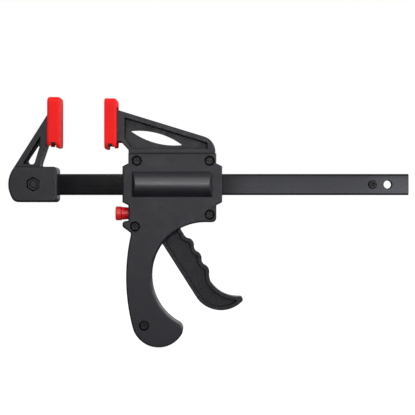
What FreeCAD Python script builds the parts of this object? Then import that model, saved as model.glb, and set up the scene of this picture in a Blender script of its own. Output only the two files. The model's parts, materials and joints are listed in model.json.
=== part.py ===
"""Quick release bar clamp: a parametric model in millimetres.

X runs along the bar, away from the fixed jaw. Y is the depth, with the screw heads towards -Y.
Z is up. The origin is the centre of the moving jaw's pad face. The outlines are drawn about
the bar's centreline, and every piece is then placed pad_centre_height lower.
"""
import FreeCAD
import Part
import Sketcher
import math
import os

from FreeCAD import Placement, Rotation, Vector

SIZES = {
    # Steel bar
    "bar_height": 14.2,
    "bar_thickness": 5.0,
    "bar_length": 260.2,
    "bar_chamfer": 0.7,
    "bar_clearance": 0.2,
    "bar_end_margin": 8.4,
    "end_hole_diameter": 5.5,
    "end_hole_margin": 14.1,
    "stop_pin_margin": 24.4,
    "stop_pin_diameter": 5.0,
    "stop_pin_bore": 2.6,
    "stop_pin_bore_depth": 2.5,
    "stop_pin_slot": 0.9,
    "stop_pin_length": 11.0,
    # Jaws and their soft pads
    "pad_centre_height": 40.6,
    "jaw_opening": 29.9,
    "pad_height": 33.8,
    "pad_width": 24.0,
    "pad_thickness": 8.2,
    "pad_front_wall": 2.4,
    "pad_top_wall": 3.0,
    "pad_lip_rise": 1.2,
    "pad_notch_rise": 3.4,
    "pad_corner_round": 4.0,
    "pad_back_round": 1.8,
    "pad_face_round": 0.8,
    "pad_fit": 0.1,
    "fixed_pad_rise": 0.9,
    "plate_thickness": 3.0,
    "plate_width": 20.8,
    "plate_bottom_gap": 2.4,
    # Housing shell
    "housing_half": 11.0,
    "wall": 2.4,
    "housing_edge_round": 1.2,
    "body_left": 16.0,
    "body_length": 58.7,
    "body_top": 20.6,
    "body_drop": 25.3,
    "body_corner_round": 3.0,
    "collar_reach": 3.9,
    "collar_half": 14.0,
    "collar_bevel": 2.0,
    "bulge_radius": 11.6,
    "bulge_offset": 3.0,
    "bulge_end_inset": 2.6,
    "bulge_end_angle": 60.0,
    # Moving jaw arm, part of both housing halves
    "arm_half": 8.5,
    "arm_web_half": 2.5,
    "arm_tip_drop": 6.7,
    "arm_root_rise": 8.9,
    "arm_shoulder_round": 10.6,
    "arm_heel_inset": 0.6,
    "arm_under_rise": 4.7,
    "arm_chin_reach": 5.0,
    "arm_chin_rise": 2.4,
    "arm_rim": 3.5,
    "arm_floor_rib": 3.3,
    "arm_end_rib": 5.1,
    "arm_toe_rib": 5.9,
    "arm_edge_round": 0.8,
    # Handle
    "grip_radius": 36.2,
    "grip_centre": 67.4,
    "grip_back": 14.5,
    "back_radius": 131.0,
    "grip_neck_drop": 8.7,
    "butt_radius": 18.0,
    "butt_reach": 21.7,
    "butt_drop": 65.5,
    "toe_radius": 5.0,
    "horn_reach": 3.9,
    "horn_height": 3.8,
    "horn_slope": 4.2,
    "horn_root": 1.7,
    "horn_round": 2.2,
    "horn_tip_round": 1.4,
    "horn_clearance": 0.35,
    # Housing screws
    "screw_boss_diameter": 7.0,
    "screw_head_diameter": 5.6,
    "screw_head_height": 2.2,
    "screw_head_round": 0.8,
    "screw_recess_diameter": 6.8,
    "screw_recess_depth": 3.4,
    "screw_diameter": 2.9,
    "screw_length": 14.0,
    "screw_clearance": 0.15,
    "screw_tip_clearance": 0.5,
    "screw_drive_width": 0.9,
    "screw_drive_length": 3.6,
    "screw_drive_depth": 1.2,
    "screw_inset_side": 4.5,
    "screw_inset_top": 5.0,
    "screw_inset_left": 5.6,
    "screw_neck_reach": 2.95,
    "screw_neck_drop": 2.9,
    "screw_butt_reach": 9.7,
    "screw_butt_drop": 3.6,
    # Trigger
    "pivot_reach": 25.0,
    "pivot_drop": 20.5,
    "pivot_diameter": 5.0,
    "pivot_clearance": 0.05,
    "pivot_boss_diameter": 9.0,
    "trigger_boss_diameter": 9.4,
    "trigger_half": 5.5,
    "trigger_side_clearance": 0.3,
    "trigger_web_half": 2.2,
    "trigger_rim": 2.3,
    "trigger_length": 64.0,
    "ridge_pitch": 10.3,
    "ridge_width": 5.8,
    "ridge_base": 2.3,
    "ridge_first": 8.3,
    "ridge_line_angle": 120.0,
    "ridge_turn": 70.0,
    "lobe_reach": 3.4,
    "lobe_rise": 9.0,
    "lobe_round": 1.4,
    "lobe_width": 4.2,
    "slot_start_angle": 114.0,
    "slot_end_angle": 164.0,
    # Drive plates and their spring
    "drive_plate_thickness": 2.5,
    "drive_plate_width": 15.0,
    "drive_plate_top": 13.2,
    "drive_plate_bottom": 13.6,
    "plate_window_clearance": 0.35,
    "lobe_clearance": 0.4,
    "drive_rest_width": 2.0,
    "drive_rest_clearance": 0.4,
    "drive_rest_drop": 9.5,
    "drive_spring_diameter": 18.6,
    "drive_spring_wire": 1.4,
    "drive_spring_turns": 5.5,
    "spring_seat_clearance": 0.1,
    # Brake plate, its spring and the release button
    "brake_reach": 13.5,
    "brake_pivot_height": 13.0,
    "brake_lean": 6.0,
    "brake_plate_thickness": 3.0,
    "brake_plate_width": 15.0,
    "brake_plate_drop": 36.0,
    "brake_plate_head": 1.2,
    "brake_window_height": 15.1,
    "brake_rest_width": 2.0,
    "brake_rest_gap": 0.8,
    "brake_rest_drop": 10.2,
    "brake_spring_diameter": 7.0,
    "brake_spring_wire": 0.8,
    "brake_spring_turns": 4.0,
    "brake_spring_height": 13.0,
    "brake_seat_reach": 19.2,
    "brake_seat_width": 2.0,
    "brake_seat_height": 7.0,
    "button_drop": 19.4,
    "button_head_diameter": 9.5,
    "button_head_length": 4.2,
    "button_head_round": 0.7,
    "button_waist_diameter": 8.8,
    "button_shank_diameter": 8.0,
    "button_clearance": 0.4,
    "button_standoff": 4.9,
    "button_taper_gap": 0.7,
    "button_flange_diameter": 9.8,
    "button_flange_length": 1.6,
    "button_flange_gap": 0.2,
    "button_nose_diameter": 6.0,
    "button_nose_gap": 0.3,
    # Fixed jaw
    "hub_setback": 1.8,
    "hub_length": 32.6,
    "hub_top": 11.8,
    "hub_drop": 11.9,
    "hub_half": 10.0,
    "hub_corner_round": 2.6,
    "hub_nose_reach": 2.9,
    "hub_nose_height": 9.9,
    "hub_chin_run": 3.8,
    "hub_edge_round": 1.4,
    "jaw_arm_half": 8.5,
    "jaw_web_half": 2.5,
    "jaw_tip_drop": 7.2,
    "jaw_neck_reach": 8.0,
    "jaw_neck_rise": 2.2,
    "jaw_under_rise": 2.4,
    "jaw_under_reach": 3.6,
    "jaw_outer_rib": 4.4,
    "jaw_inner_rib": 3.2,
    "jaw_recess_rise": 1.6,
    "jaw_recess_height": 18.8,
    "jaw_recess_bend": 11.3,
    "jaw_slot_length": 10.6,
    "jaw_slot_inset": 6.9,
    "jaw_slot_lean": 25.4,
    "jaw_slot_radius": 2.3,
    "jaw_slot_tip_radius": 0.75,
    "bolt_setback": 17.7,
    "bolt_diameter": 5.0,
    "bolt_clearance": 0.15,
    "bolt_head_diameter": 8.5,
    "bolt_head_height": 4.6,
    "bolt_socket_width": 4.0,
    "bolt_socket_depth": 2.5,
    "bolt_head_inset": 0.6,
    "bolt_tip_inset": 1.2,
    "bolt_chamfer": 0.5,
    "nut_width": 8.0,
    "nut_height": 4.0,
    "nut_clearance": 0.25,
    "nut_recess_depth": 5.2,
    "nut_chamfer": 0.5,
    # One overrun for every cut
    "overrun": 1.0,
}

doc = FreeCAD.newDocument("bar_clamp")
sheet = doc.addObject("Spreadsheet::Sheet", "Sizes")
for row, (size_name, size_value) in enumerate(SIZES.items(), start=1):
    sheet.set(f"A{row}", size_name)
    sheet.set(f"B{row}", str(size_value))
    sheet.setAlias(f"B{row}", size_name)
doc.recompute()


# Sizes that know both their value and the expression that binds them to the sheet

class Size:
    def __init__(self, value, text):
        self.value = float(value)
        self.text = text

    def __add__(self, other):
        return Size(self.value + other.value, f"({self.text} + {other.text})")

    def __sub__(self, other):
        return Size(self.value - other.value, f"({self.text} - {other.text})")

    def __mul__(self, share):
        return Size(self.value * share, f"({self.text} * {share:.9f})")

    def __neg__(self):
        return Size(-self.value, f"(0 - {self.text})")

    def times(self, other):
        return Size(self.value * other.value, f"({self.text} * {other.text})")

    def over(self, other):
        return Size(self.value / other.value, f"({self.text} / {other.text})")


class SheetSizes:
    def __getattr__(self, name):
        return Size(SIZES[name], f"Sizes.{name}")


S = SheetSizes()
ZERO = Size(0.0, "0")

# How near an edge lies to a place, as a share of the pad's fit, and how straight it runs
NEAR_SHARE = 0.1
STRAIGHT_SHARE = 0.999
QUARTER_TURN_BULGE = math.tan(math.pi / 8)
POINTS_PER_ARC = 5


def root_of_squares(a, b):
    return Size(math.hypot(a.value, b.value), f"sqrt({a.text}^2 + {b.text}^2)")


def leg(hypotenuse, other):
    """The third side of a triangle with a square corner."""
    length = math.sqrt(hypotenuse.value ** 2 - other.value ** 2)
    return Size(length, f"sqrt({hypotenuse.text}^2 - {other.text}^2)")


def cosine(angle):
    return Size(math.cos(math.radians(angle.value)), f"cos({angle.text} * 1 deg)")


def sine(angle):
    return Size(math.sin(math.radians(angle.value)), f"sin({angle.text} * 1 deg)")


# Places that several pieces share

BODY_RIGHT = S.body_left + S.body_length
BODY_BOTTOM = -S.body_drop
PAD_BOTTOM = S.pad_centre_height - S.pad_height * 0.5
PAD_TOP = S.pad_centre_height + S.pad_height * 0.5
ARM_TIP_Z = PAD_TOP - S.arm_tip_drop
ARM_UNDER_Z = PAD_BOTTOM + S.arm_under_rise
JAW_TIP_Z = PAD_TOP + S.fixed_pad_rise - S.jaw_tip_drop
JAW_UNDER_Z = PAD_BOTTOM + S.fixed_pad_rise + S.jaw_under_rise
FIXED_FACE = -S.jaw_opening
BOLT_X = FIXED_FACE - S.bolt_setback
BAR_LEFT = BOLT_X - S.bar_end_margin
BAR_RIGHT = BAR_LEFT + S.bar_length
PIVOT_X = S.body_left + S.pivot_reach
PIVOT_Z = -S.pivot_drop
BUTTON_Z = -S.button_drop
CAVITY_DEPTH = S.housing_half - S.wall
TRIGGER_SLOT_HALF = S.trigger_half + S.trigger_side_clearance
PIVOT_BORE = S.pivot_diameter * 0.5 + S.pivot_clearance
GRIP_CENTRE_Z = BODY_BOTTOM - S.grip_radius
BUTT_X = S.grip_back + S.butt_reach
BUTT_Z = BODY_BOTTOM - S.butt_drop
BACK_X = S.grip_back + S.back_radius
BACK_Z = BUTT_Z + leg(S.back_radius - S.butt_radius, BACK_X - BUTT_X)
NECK_Z = BODY_BOTTOM - S.grip_neck_drop
NECK_X = BACK_X - leg(S.back_radius, NECK_Z - BACK_Z)
DRIVE_LEFT = PIVOT_X + S.lobe_reach + S.lobe_clearance
DRIVE_RIGHT = DRIVE_LEFT + S.drive_plate_thickness * 2.0
BRAKE_X = S.body_left + S.brake_reach
BRAKE_SEAT_X = S.body_left + S.brake_seat_reach
SCREW_SEAT = S.housing_half - S.screw_recess_depth

NODES = []


# Helpers for bodies, sketches and features

def new_body(name):
    body = doc.addObject("PartDesign::Body", name)
    body.Label = name
    body.setExpression("Placement.Base.z", (-S.pad_centre_height).text)
    NODES.append(body)
    return body


def new_sketch(body, name, plane, offset=ZERO):
    sketch = body.newObject("Sketcher::SketchObject", name)
    origin = next(item for item in body.Origin.OriginFeatures if item.Role == plane)
    sketch.AttachmentSupport = [(origin, "")]
    sketch.MapMode = "FlatFace"
    if offset is not ZERO:
        sketch.setExpression("AttachmentOffset.Base.z", offset.text)
    return sketch


def bind(sketch, size, kind, *where):
    index = sketch.addConstraint(Sketcher.Constraint(kind, *where, size.value))
    sketch.setExpression(f"Constraints[{index}]", size.text)


def bind_point(sketch, geometry, end, x, y):
    bind(sketch, x, "DistanceX", -1, 1, geometry, end)
    bind(sketch, y, "DistanceY", -1, 1, geometry, end)


def arc_between(start, end, bulge):
    """An arc from start to end. A positive bulge turns left, and is tan of a quarter of the turn."""
    chord = end - start
    radius = chord.Length * (1 + bulge * bulge) / (4 * abs(bulge))
    left = Vector(-chord.y, chord.x, 0).normalize()
    rise = chord.Length * (1 - bulge * bulge) / (4 * bulge)
    centre = (start + end) * 0.5 + left * rise
    first, last = (start, end) if bulge > 0 else (end, start)
    first_angle = math.atan2(first.y - centre.y, first.x - centre.x)
    last_angle = math.atan2(last.y - centre.y, last.x - centre.x)
    while last_angle < first_angle:
        last_angle += 2 * math.pi
    circle = Part.Circle(centre, Vector(0, 0, 1), radius)
    return Part.ArcOfCircle(circle, first_angle, last_angle)


def draw_outline(sketch, corners):
    """A closed outline, anticlockwise: each corner is x, y and the bulge of the side that follows."""
    points = [Vector(corner[0].value, corner[1].value, 0) for corner in corners]
    ends = []
    for index, corner in enumerate(corners):
        start = points[index]
        end = points[(index + 1) % len(corners)]
        bulge = corner[2] if len(corner) > 2 else 0
        if bulge:
            geometry = sketch.addGeometry(arc_between(start, end, bulge), False)
        else:
            geometry = sketch.addGeometry(Part.LineSegment(start, end), False)
        ends.append((geometry, 1, 2) if bulge >= 0 else (geometry, 2, 1))
    for index, corner in enumerate(corners):
        geometry, first, last = ends[index]
        next_geometry, next_first, _ = ends[(index + 1) % len(corners)]
        sketch.addConstraint(Sketcher.Constraint("Coincident", geometry, last, next_geometry, next_first))
        bind_point(sketch, geometry, first, corner[0], corner[1])
    for index, corner in enumerate(corners):
        if len(corner) > 2 and corner[2]:
            following = corners[(index + 1) % len(corners)]
            chord = root_of_squares(following[0] - corner[0], following[1] - corner[1])
            share = (1 + corner[2] ** 2) / (4 * abs(corner[2]))
            bind(sketch, chord * share, "Radius", ends[index][0])


def draw_rectangle(sketch, left, right, low, high):
    draw_outline(sketch, [(left, low), (right, low), (right, high), (left, high)])


def draw_circle(sketch, x, y, radius):
    circle = Part.Circle(Vector(x.value, y.value, 0), Vector(0, 0, 1), radius.value)
    geometry = sketch.addGeometry(circle, False)
    bind_point(sketch, geometry, 3, x, y)
    bind(sketch, radius, "Radius", geometry)


def pad(body, name, sketch, length, reverse=False, both_sides=False):
    feature = body.newObject("PartDesign::Pad", name)
    feature.Profile = sketch
    feature.setExpression("Length", length.text)
    feature.SideType = "Symmetric" if both_sides else "One side"
    feature.Reversed = reverse
    sketch.Visibility = False
    return feature


def pocket(body, name, sketch, length, reverse=False, both_sides=False):
    """A cut against the sketch's normal, or along it with reverse. It must take material away."""
    doc.recompute()
    before = body.Shape.Volume
    feature = body.newObject("PartDesign::Pocket", name)
    feature.Profile = sketch
    feature.setExpression("Length", length.text)
    feature.SideType = "Symmetric" if both_sides else "One side"
    feature.Reversed = reverse
    doc.recompute()
    if body.Shape.Volume >= before:
        raise RuntimeError(f"{name} cuts nothing")
    return feature


def turn(body, name, sketch, axis_z):
    """A full revolution about the line along X at the height axis_z, drawn in the XZ plane."""
    line = sketch.addGeometry(Part.LineSegment(Vector(0, axis_z.value, 0), Vector(1, axis_z.value, 0)), True)
    sketch.addConstraint(Sketcher.Constraint("Horizontal", line))
    bind(sketch, axis_z, "DistanceY", -1, 1, line, 1)
    feature = body.newObject("PartDesign::Revolution", name)
    feature.Profile = sketch
    feature.ReferenceAxis = (sketch, ["Axis0"])
    feature.Angle = 360
    return feature


def edges_where(body, test):
    doc.recompute()
    tip = body.Tip
    return [f"Edge{index}" for index, edge in enumerate(tip.Shape.Edges, start=1) if test(edge)]


def soften(body, name, size, test, kind="Fillet"):
    names = edges_where(body, test)
    if not names:
        raise RuntimeError(f"{name} finds no edge")
    base = body.Tip
    feature = body.newObject(f"PartDesign::{kind}", name)
    feature.Base = (base, names)
    feature.setExpression("Radius" if kind == "Fillet" else "Size", size.text)
    doc.recompute()
    return feature


def lies_at(edge, axis, place):
    box = edge.BoundBox
    low = getattr(box, f"{axis}Min")
    high = getattr(box, f"{axis}Max")
    reach = SIZES["pad_fit"] * NEAR_SHARE
    return abs(low - place) < reach and abs(high - place) < reach


def runs_along(edge, axis):
    first, last = edge.Vertexes[0].Point, edge.Vertexes[-1].Point
    span = last - first
    return span.Length > 0 and abs(getattr(span, axis)) > STRAIGHT_SHARE * span.Length


# Housing

def screw_places():
    return [
        (S.body_left + S.screw_inset_left, S.body_top - S.screw_inset_top),
        (BODY_RIGHT - S.screw_inset_side, S.body_top - S.screw_inset_top),
        (BODY_RIGHT - S.screw_inset_side, BODY_BOTTOM + S.screw_inset_top),
        (NECK_X + S.screw_neck_reach, BODY_BOTTOM - S.screw_neck_drop),
        (BUTT_X - S.screw_butt_reach, BUTT_Z - S.screw_butt_drop),
    ]


def draw_body_block(sketch):
    left, right = S.body_left, BODY_RIGHT
    left_end, right_end = left - S.collar_reach, right + S.collar_reach
    half, end_half = S.collar_half, S.collar_half - S.collar_bevel
    draw_outline(sketch, [
        (left, BODY_BOTTOM),
        (right - S.body_corner_round, BODY_BOTTOM, QUARTER_TURN_BULGE),
        (right, BODY_BOTTOM + S.body_corner_round),
        (right, -half),
        (right_end, -end_half),
        (right_end, end_half),
        (right, half),
        (right, S.body_top),
        (left, S.body_top),
        (left, half),
        (left_end, end_half),
        (left_end, -end_half),
        (left, -half),
    ])


def draw_grip(sketch, inset, top):
    """The handle: back, butt, toe and finger side are arcs that meet smoothly."""
    back = S.back_radius - inset
    butt = S.butt_radius - inset
    toe = S.toe_radius - inset
    finger = S.grip_radius + inset
    butt_centre = Vector(BUTT_X.value, BUTT_Z.value, 0)
    finger_centre = Vector(S.grip_centre.value, GRIP_CENTRE_Z.value, 0)
    back_centre = Vector(BACK_X.value, BACK_Z.value, 0)
    toe_to_butt = S.butt_radius.value - S.toe_radius.value
    toe_to_finger = S.grip_radius.value + S.toe_radius.value
    span = finger_centre - butt_centre
    along = (toe_to_butt ** 2 - toe_to_finger ** 2 + span.Length ** 2) / (2 * span.Length)
    aside = math.sqrt(toe_to_butt ** 2 - along ** 2)
    unit = Vector(span).normalize()
    toe_centre = butt_centre + unit * along + Vector(unit.y, -unit.x, 0) * aside

    neck_x = back_centre.x - math.sqrt(back.value ** 2 - (NECK_Z.value - back_centre.y) ** 2)
    neck = Vector(neck_x, NECK_Z.value, 0)
    back_end = back_centre + (butt_centre - back_centre).normalize() * back.value
    butt_end = butt_centre + (toe_centre - butt_centre).normalize() * butt.value
    finger_start = finger_centre + (toe_centre - finger_centre).normalize() * finger.value
    finger_end = finger_centre + Vector(0, finger.value, 0)
    top_right = Vector(finger_end.x, top.value, 0)
    top_left = Vector(neck_x, top.value, 0)

    def arc(centre, radius, first, last):
        start = math.atan2(first.y - centre.y, first.x - centre.x)
        end = math.atan2(last.y - centre.y, last.x - centre.x)
        if end < start:
            end += 2 * math.pi
        return sketch.addGeometry(
            Part.ArcOfCircle(Part.Circle(centre, Vector(0, 0, 1), radius), start, end), False)

    back_arc = arc(back_centre, back.value, neck, back_end)
    butt_arc = arc(butt_centre, butt.value, back_end, butt_end)
    toe_arc = arc(toe_centre, toe.value, butt_end, finger_start)
    finger_arc = arc(finger_centre, finger.value, finger_end, finger_start)
    right_side = sketch.addGeometry(Part.LineSegment(finger_end, top_right), False)
    top_side = sketch.addGeometry(Part.LineSegment(top_right, top_left), False)
    left_side = sketch.addGeometry(Part.LineSegment(top_left, neck), False)

    for constraint in (
        ("Tangent", back_arc, 2, butt_arc, 1),
        ("Tangent", butt_arc, 2, toe_arc, 1),
        ("Tangent", toe_arc, 2, finger_arc, 2),
        ("Coincident", finger_arc, 1, right_side, 1),
        ("Coincident", right_side, 2, top_side, 1),
        ("Coincident", top_side, 2, left_side, 1),
        ("Coincident", left_side, 2, back_arc, 1),
        ("Vertical", right_side),
        ("Horizontal", top_side),
        ("Vertical", left_side),
    ):
        sketch.addConstraint(Sketcher.Constraint(*constraint))
    bind(sketch, BACK_X, "DistanceX", -1, 1, back_arc, 3)
    bind(sketch, back, "Radius", back_arc)
    bind_point(sketch, butt_arc, 3, BUTT_X, BUTT_Z)
    bind(sketch, butt, "Radius", butt_arc)
    bind(sketch, toe, "Radius", toe_arc)
    bind_point(sketch, finger_arc, 3, S.grip_centre, GRIP_CENTRE_Z)
    bind(sketch, finger, "Radius", finger_arc)
    bind(sketch, S.grip_centre, "DistanceX", -1, 1, finger_arc, 1)
    bind(sketch, top, "DistanceY", -1, 1, top_side, 1)
    bind(sketch, NECK_Z, "DistanceY", -1, 1, back_arc, 1)


def draw_horn(sketch):
    """The thumb rest under the release button."""
    left = S.body_left - S.horn_reach
    right = NECK_X + S.wall
    high = BUTTON_Z - S.button_head_diameter * 0.5 - S.horn_clearance
    low = high - S.horn_height
    lean = math.atan2(S.horn_slope.value, S.horn_reach.value + S.horn_root.value)
    turn_angle = math.pi / 2 - lean
    reach = S.horn_tip_round * math.tan(turn_angle / 2)
    draw_outline(sketch, [
        (left, low + reach, math.tan(turn_angle / 4)),
        (left + reach * math.cos(lean), low - reach * math.sin(lean)),
        (S.body_left + S.horn_root, low - S.horn_slope),
        (right, low - S.horn_slope),
        (right, high),
        (left + S.horn_round, high, QUARTER_TURN_BULGE),
        (left, high - S.horn_round),
    ])


def arm_line():
    """The slope of the arm's top edge, and its height at x."""
    plate_back = S.pad_front_wall + S.plate_thickness
    fall = S.body_top + S.arm_root_rise - ARM_TIP_Z
    slope = fall.over(BODY_RIGHT - plate_back)

    def height(x):
        return ARM_TIP_Z + (x - plate_back).times(slope)

    return plate_back, slope, height


def draw_arm(sketch):
    """The arm, with a shoulder that rounds its top edge into its upright back."""
    plate_back, slope, height = arm_line()
    lean = math.atan(-slope.value)
    turn_angle = math.pi / 2 - lean
    reach = S.arm_shoulder_round * math.tan(turn_angle / 2)
    heel_x = BODY_RIGHT - S.arm_heel_inset
    shoulder_x = heel_x - reach * math.cos(lean)
    draw_outline(sketch, [
        (plate_back, ARM_UNDER_Z),
        (S.body_left - S.arm_chin_reach, ARM_UNDER_Z),
        (S.body_left, S.body_top + S.arm_chin_rise),
        (S.body_left, ZERO),
        (heel_x, ZERO),
        (heel_x, height(heel_x) - reach, math.tan(turn_angle / 4)),
        (shoulder_x, height(shoulder_x)),
        (plate_back, ARM_TIP_Z),
    ])


def arm_recess_box():
    _, _, height = arm_line()
    left = S.pad_thickness + S.arm_end_rib
    right = BODY_RIGHT - S.arm_toe_rib
    floor = S.body_top + S.arm_floor_rib
    return left, right, floor, height(left) - S.arm_rim


def draw_arm_recess(sketch):
    left, right, floor, top = arm_recess_box()
    _, _, height = arm_line()
    draw_outline(sketch, [
        (left + S.arm_chin_reach, floor),
        (right, floor),
        (right, height(right) - S.arm_rim),
        (left, top),
        (left, ARM_UNDER_Z + S.arm_chin_rise),
    ])


def draw_lens(sketch):
    """The lens-shaped hole through the arm's web."""
    left, right, floor, top = arm_recess_box()
    tip_shares = ((0.0675, 0.583), (0.695, 0.126))
    tips = [
        (left + (right - left) * across, floor + (top - floor) * up)
        for across, up in tip_shares
    ]
    lens_bulge_share = 0.19
    draw_outline(sketch, [(*tips[0], lens_bulge_share), (*tips[1], lens_bulge_share)])


def draw_trigger_slot(sketch):
    """The opening in the finger side of the handle that the trigger swings through."""
    near = S.grip_radius - S.overrun
    far = S.grip_radius + S.wall + S.overrun
    quarter = (S.slot_end_angle - S.slot_start_angle) * 0.25
    bulge = math.tan(math.radians(quarter.value))

    def place(radius, angle):
        return S.grip_centre + radius.times(cosine(angle)), GRIP_CENTRE_Z + radius.times(sine(angle))

    draw_outline(sketch, [
        (*place(near, S.slot_end_angle), -bulge),
        place(near, S.slot_start_angle),
        (*place(far, S.slot_start_angle), bulge),
        place(far, S.slot_end_angle),
    ])


def ribs():
    """The ribs inside each half, as left, right, low and high: two hold the brake plate's head,
    one stops the drive plates and one seats the brake spring."""
    ceiling = S.body_top - S.wall * 0.5
    rest_left = BRAKE_X - S.brake_plate_thickness * 0.5 - S.brake_rest_gap
    rest_right = BRAKE_X + S.brake_plate_thickness * 0.5 + S.brake_rest_gap
    drive_right = DRIVE_LEFT - S.drive_rest_clearance
    seat_high = -(S.brake_spring_height - S.brake_seat_height * 0.5)
    return [
        (rest_left - S.brake_rest_width, rest_left, S.brake_rest_drop, ceiling),
        (rest_right, rest_right + S.brake_rest_width, S.brake_rest_drop, ceiling),
        (drive_right - S.drive_rest_width, drive_right, S.drive_rest_drop, ceiling),
        (BRAKE_SEAT_X, BRAKE_SEAT_X + S.brake_seat_width, seat_high - S.brake_seat_height, seat_high),
    ]


def housing_half(name, rear):
    """One half of the housing, with its half of the moving jaw arm. Depths run out from the split."""
    body = new_body(name)
    side = -1.0 if rear else 1.0
    half = S.housing_half

    def at_depth(feature, depth):
        return new_sketch(body, f"{name}_{feature}_outline", "XZ_Plane", depth * side)

    def at_split(feature):
        return new_sketch(body, f"{name}_{feature}_outline", "XZ_Plane")

    def build_out(feature, sketch, length):
        return pad(body, f"{name}_{feature}", sketch, length, reverse=rear)

    def cut_out(feature, sketch, length):
        return pocket(body, f"{name}_{feature}", sketch, length, reverse=not rear)

    def cut_in(feature, sketch, length):
        return pocket(body, f"{name}_{feature}", sketch, length, reverse=rear)

    block = at_split("block")
    draw_body_block(block)
    build_out("block", block, half)

    grip = at_split("grip")
    draw_grip(grip, ZERO, BODY_BOTTOM + S.wall)
    build_out("grip", grip, half)

    horn = at_split("horn")
    draw_horn(horn)
    build_out("horn", horn, half)

    face = -side * half.value
    soften(body, f"{name}_rim_round", S.housing_edge_round, lambda edge: lies_at(edge, "Y", face))

    bulge = new_sketch(body, f"{name}_bulge_outline", "YZ_Plane", S.body_left)
    draw_bulge(bulge, side, ZERO)
    pad(body, f"{name}_bulge", bulge, S.body_length)
    for end, slope_x, lean in (("left", S.body_left, 1.0), ("right", BODY_RIGHT, -1.0)):
        slope = new_sketch(body, f"{name}_bulge_{end}_outline", "XY_Plane")
        draw_bulge_slope(slope, slope_x, lean, side)
        pocket(body, f"{name}_bulge_{end}", slope, (S.bulge_radius + S.overrun) * 2.0, both_sides=True)

    arm = at_split("arm")
    draw_arm(arm)
    build_out("arm", arm, S.arm_half)
    arm_face = -side * S.arm_half.value
    arm_foot = S.body_top.value + S.arm_edge_round.value
    soften(
        body, f"{name}_arm_round", S.arm_edge_round,
        lambda edge: lies_at(edge, "Y", arm_face) and edge.BoundBox.ZMax > arm_foot)
    recess = at_depth("arm_recess", S.arm_half)
    draw_arm_recess(recess)
    cut_in("arm_recess", recess, S.arm_half - S.arm_web_half)
    lens = at_split("lens")
    draw_lens(lens)
    cut_out("lens", lens, S.arm_web_half + S.overrun)

    plate = at_split("jaw_plate")
    plate_left = S.pad_front_wall
    draw_rectangle(
        plate, plate_left, plate_left + S.plate_thickness,
        PAD_BOTTOM + S.plate_bottom_gap, PAD_TOP - S.pad_top_wall - S.pad_fit)
    build_out("jaw_plate", plate, S.plate_width * 0.5)

    cavity = at_split("cavity")
    draw_rectangle(
        cavity, S.body_left + S.wall, BODY_RIGHT - S.wall, BODY_BOTTOM + S.wall, S.body_top - S.wall)
    cut_out("cavity", cavity, CAVITY_DEPTH)
    grip_cavity = at_split("grip_cavity")
    draw_grip(grip_cavity, S.wall, BODY_BOTTOM + S.wall * 2.0)
    cut_out("grip_cavity", grip_cavity, CAVITY_DEPTH)
    button_room = at_split("button_room")
    draw_rectangle(
        button_room, S.body_left + S.wall, BRAKE_X,
        BUTTON_Z - S.button_flange_diameter * 0.5 - S.button_clearance, BODY_BOTTOM + S.wall * 2.0)
    cut_out("button_room", button_room, CAVITY_DEPTH)
    spring_room = new_sketch(body, f"{name}_spring_room_outline", "YZ_Plane", S.body_left + S.wall)
    draw_circle(
        spring_room, ZERO, ZERO, S.drive_spring_diameter * 0.5 + S.spring_seat_clearance)
    pocket(body, f"{name}_spring_room", spring_room, S.body_length - S.wall * 2.0, reverse=True)
    end_wall = bulge_end_wall()
    hollow = new_sketch(body, f"{name}_bulge_hollow_outline", "YZ_Plane", S.body_left + end_wall)
    draw_bulge(hollow, side, S.wall)
    pocket(body, f"{name}_bulge_hollow", hollow, S.body_length - end_wall * 2.0, reverse=True)

    window = at_split("bar_window")
    window_half = S.bar_height * 0.5 + S.bar_clearance
    draw_rectangle(
        window, S.body_left - S.collar_reach - S.overrun, BODY_RIGHT + S.collar_reach + S.overrun,
        -window_half, window_half)
    cut_out("bar_window", window, S.bar_thickness * 0.5 + S.bar_clearance)

    slot = at_split("trigger_slot")
    draw_trigger_slot(slot)
    cut_out("trigger_slot", slot, TRIGGER_SLOT_HALF)

    rib_outline = at_split("ribs")
    for rib in ribs():
        draw_rectangle(rib_outline, *rib)
    build_out("ribs", rib_outline, CAVITY_DEPTH + S.wall * 0.5)

    pivot_boss = at_depth("pivot_boss", TRIGGER_SLOT_HALF)
    draw_circle(pivot_boss, PIVOT_X, PIVOT_Z, S.pivot_boss_diameter * 0.5)
    build_out("pivot_boss", pivot_boss, half - TRIGGER_SLOT_HALF - S.wall * 0.5)
    pivot_bore = at_depth("pivot_bore", TRIGGER_SLOT_HALF)
    draw_circle(pivot_bore, PIVOT_X, PIVOT_Z, PIVOT_BORE)
    cut_out("pivot_bore", pivot_bore, CAVITY_DEPTH - TRIGGER_SLOT_HALF)

    bosses = at_split("screw_bosses")
    bores = at_split("screw_bores")
    for x, z in screw_places():
        draw_circle(bosses, x, z, S.screw_boss_diameter * 0.5)
        draw_circle(bores, x, z, S.screw_diameter * 0.5 + S.screw_clearance)
    build_out("screw_bosses", bosses, CAVITY_DEPTH + S.wall * 0.5)
    if rear:
        cut_out("screw_bores", bores, S.screw_length - SCREW_SEAT + S.screw_tip_clearance)
    else:
        cut_out("screw_bores", bores, half + S.overrun)
        recesses = at_depth("screw_recesses", half)
        for x, z in screw_places():
            draw_circle(recesses, x, z, S.screw_recess_diameter * 0.5)
        cut_in("screw_recesses", recesses, S.screw_recess_depth)

    button_hole = new_sketch(
        body, f"{name}_button_hole_outline", "YZ_Plane", S.body_left - S.overrun)
    draw_circle(
        button_hole, ZERO, BUTTON_Z, S.button_shank_diameter * 0.5 + S.button_clearance)
    pocket(body, f"{name}_button_hole", button_hole, S.wall + S.overrun * 2.0, reverse=True)
    return body


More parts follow.
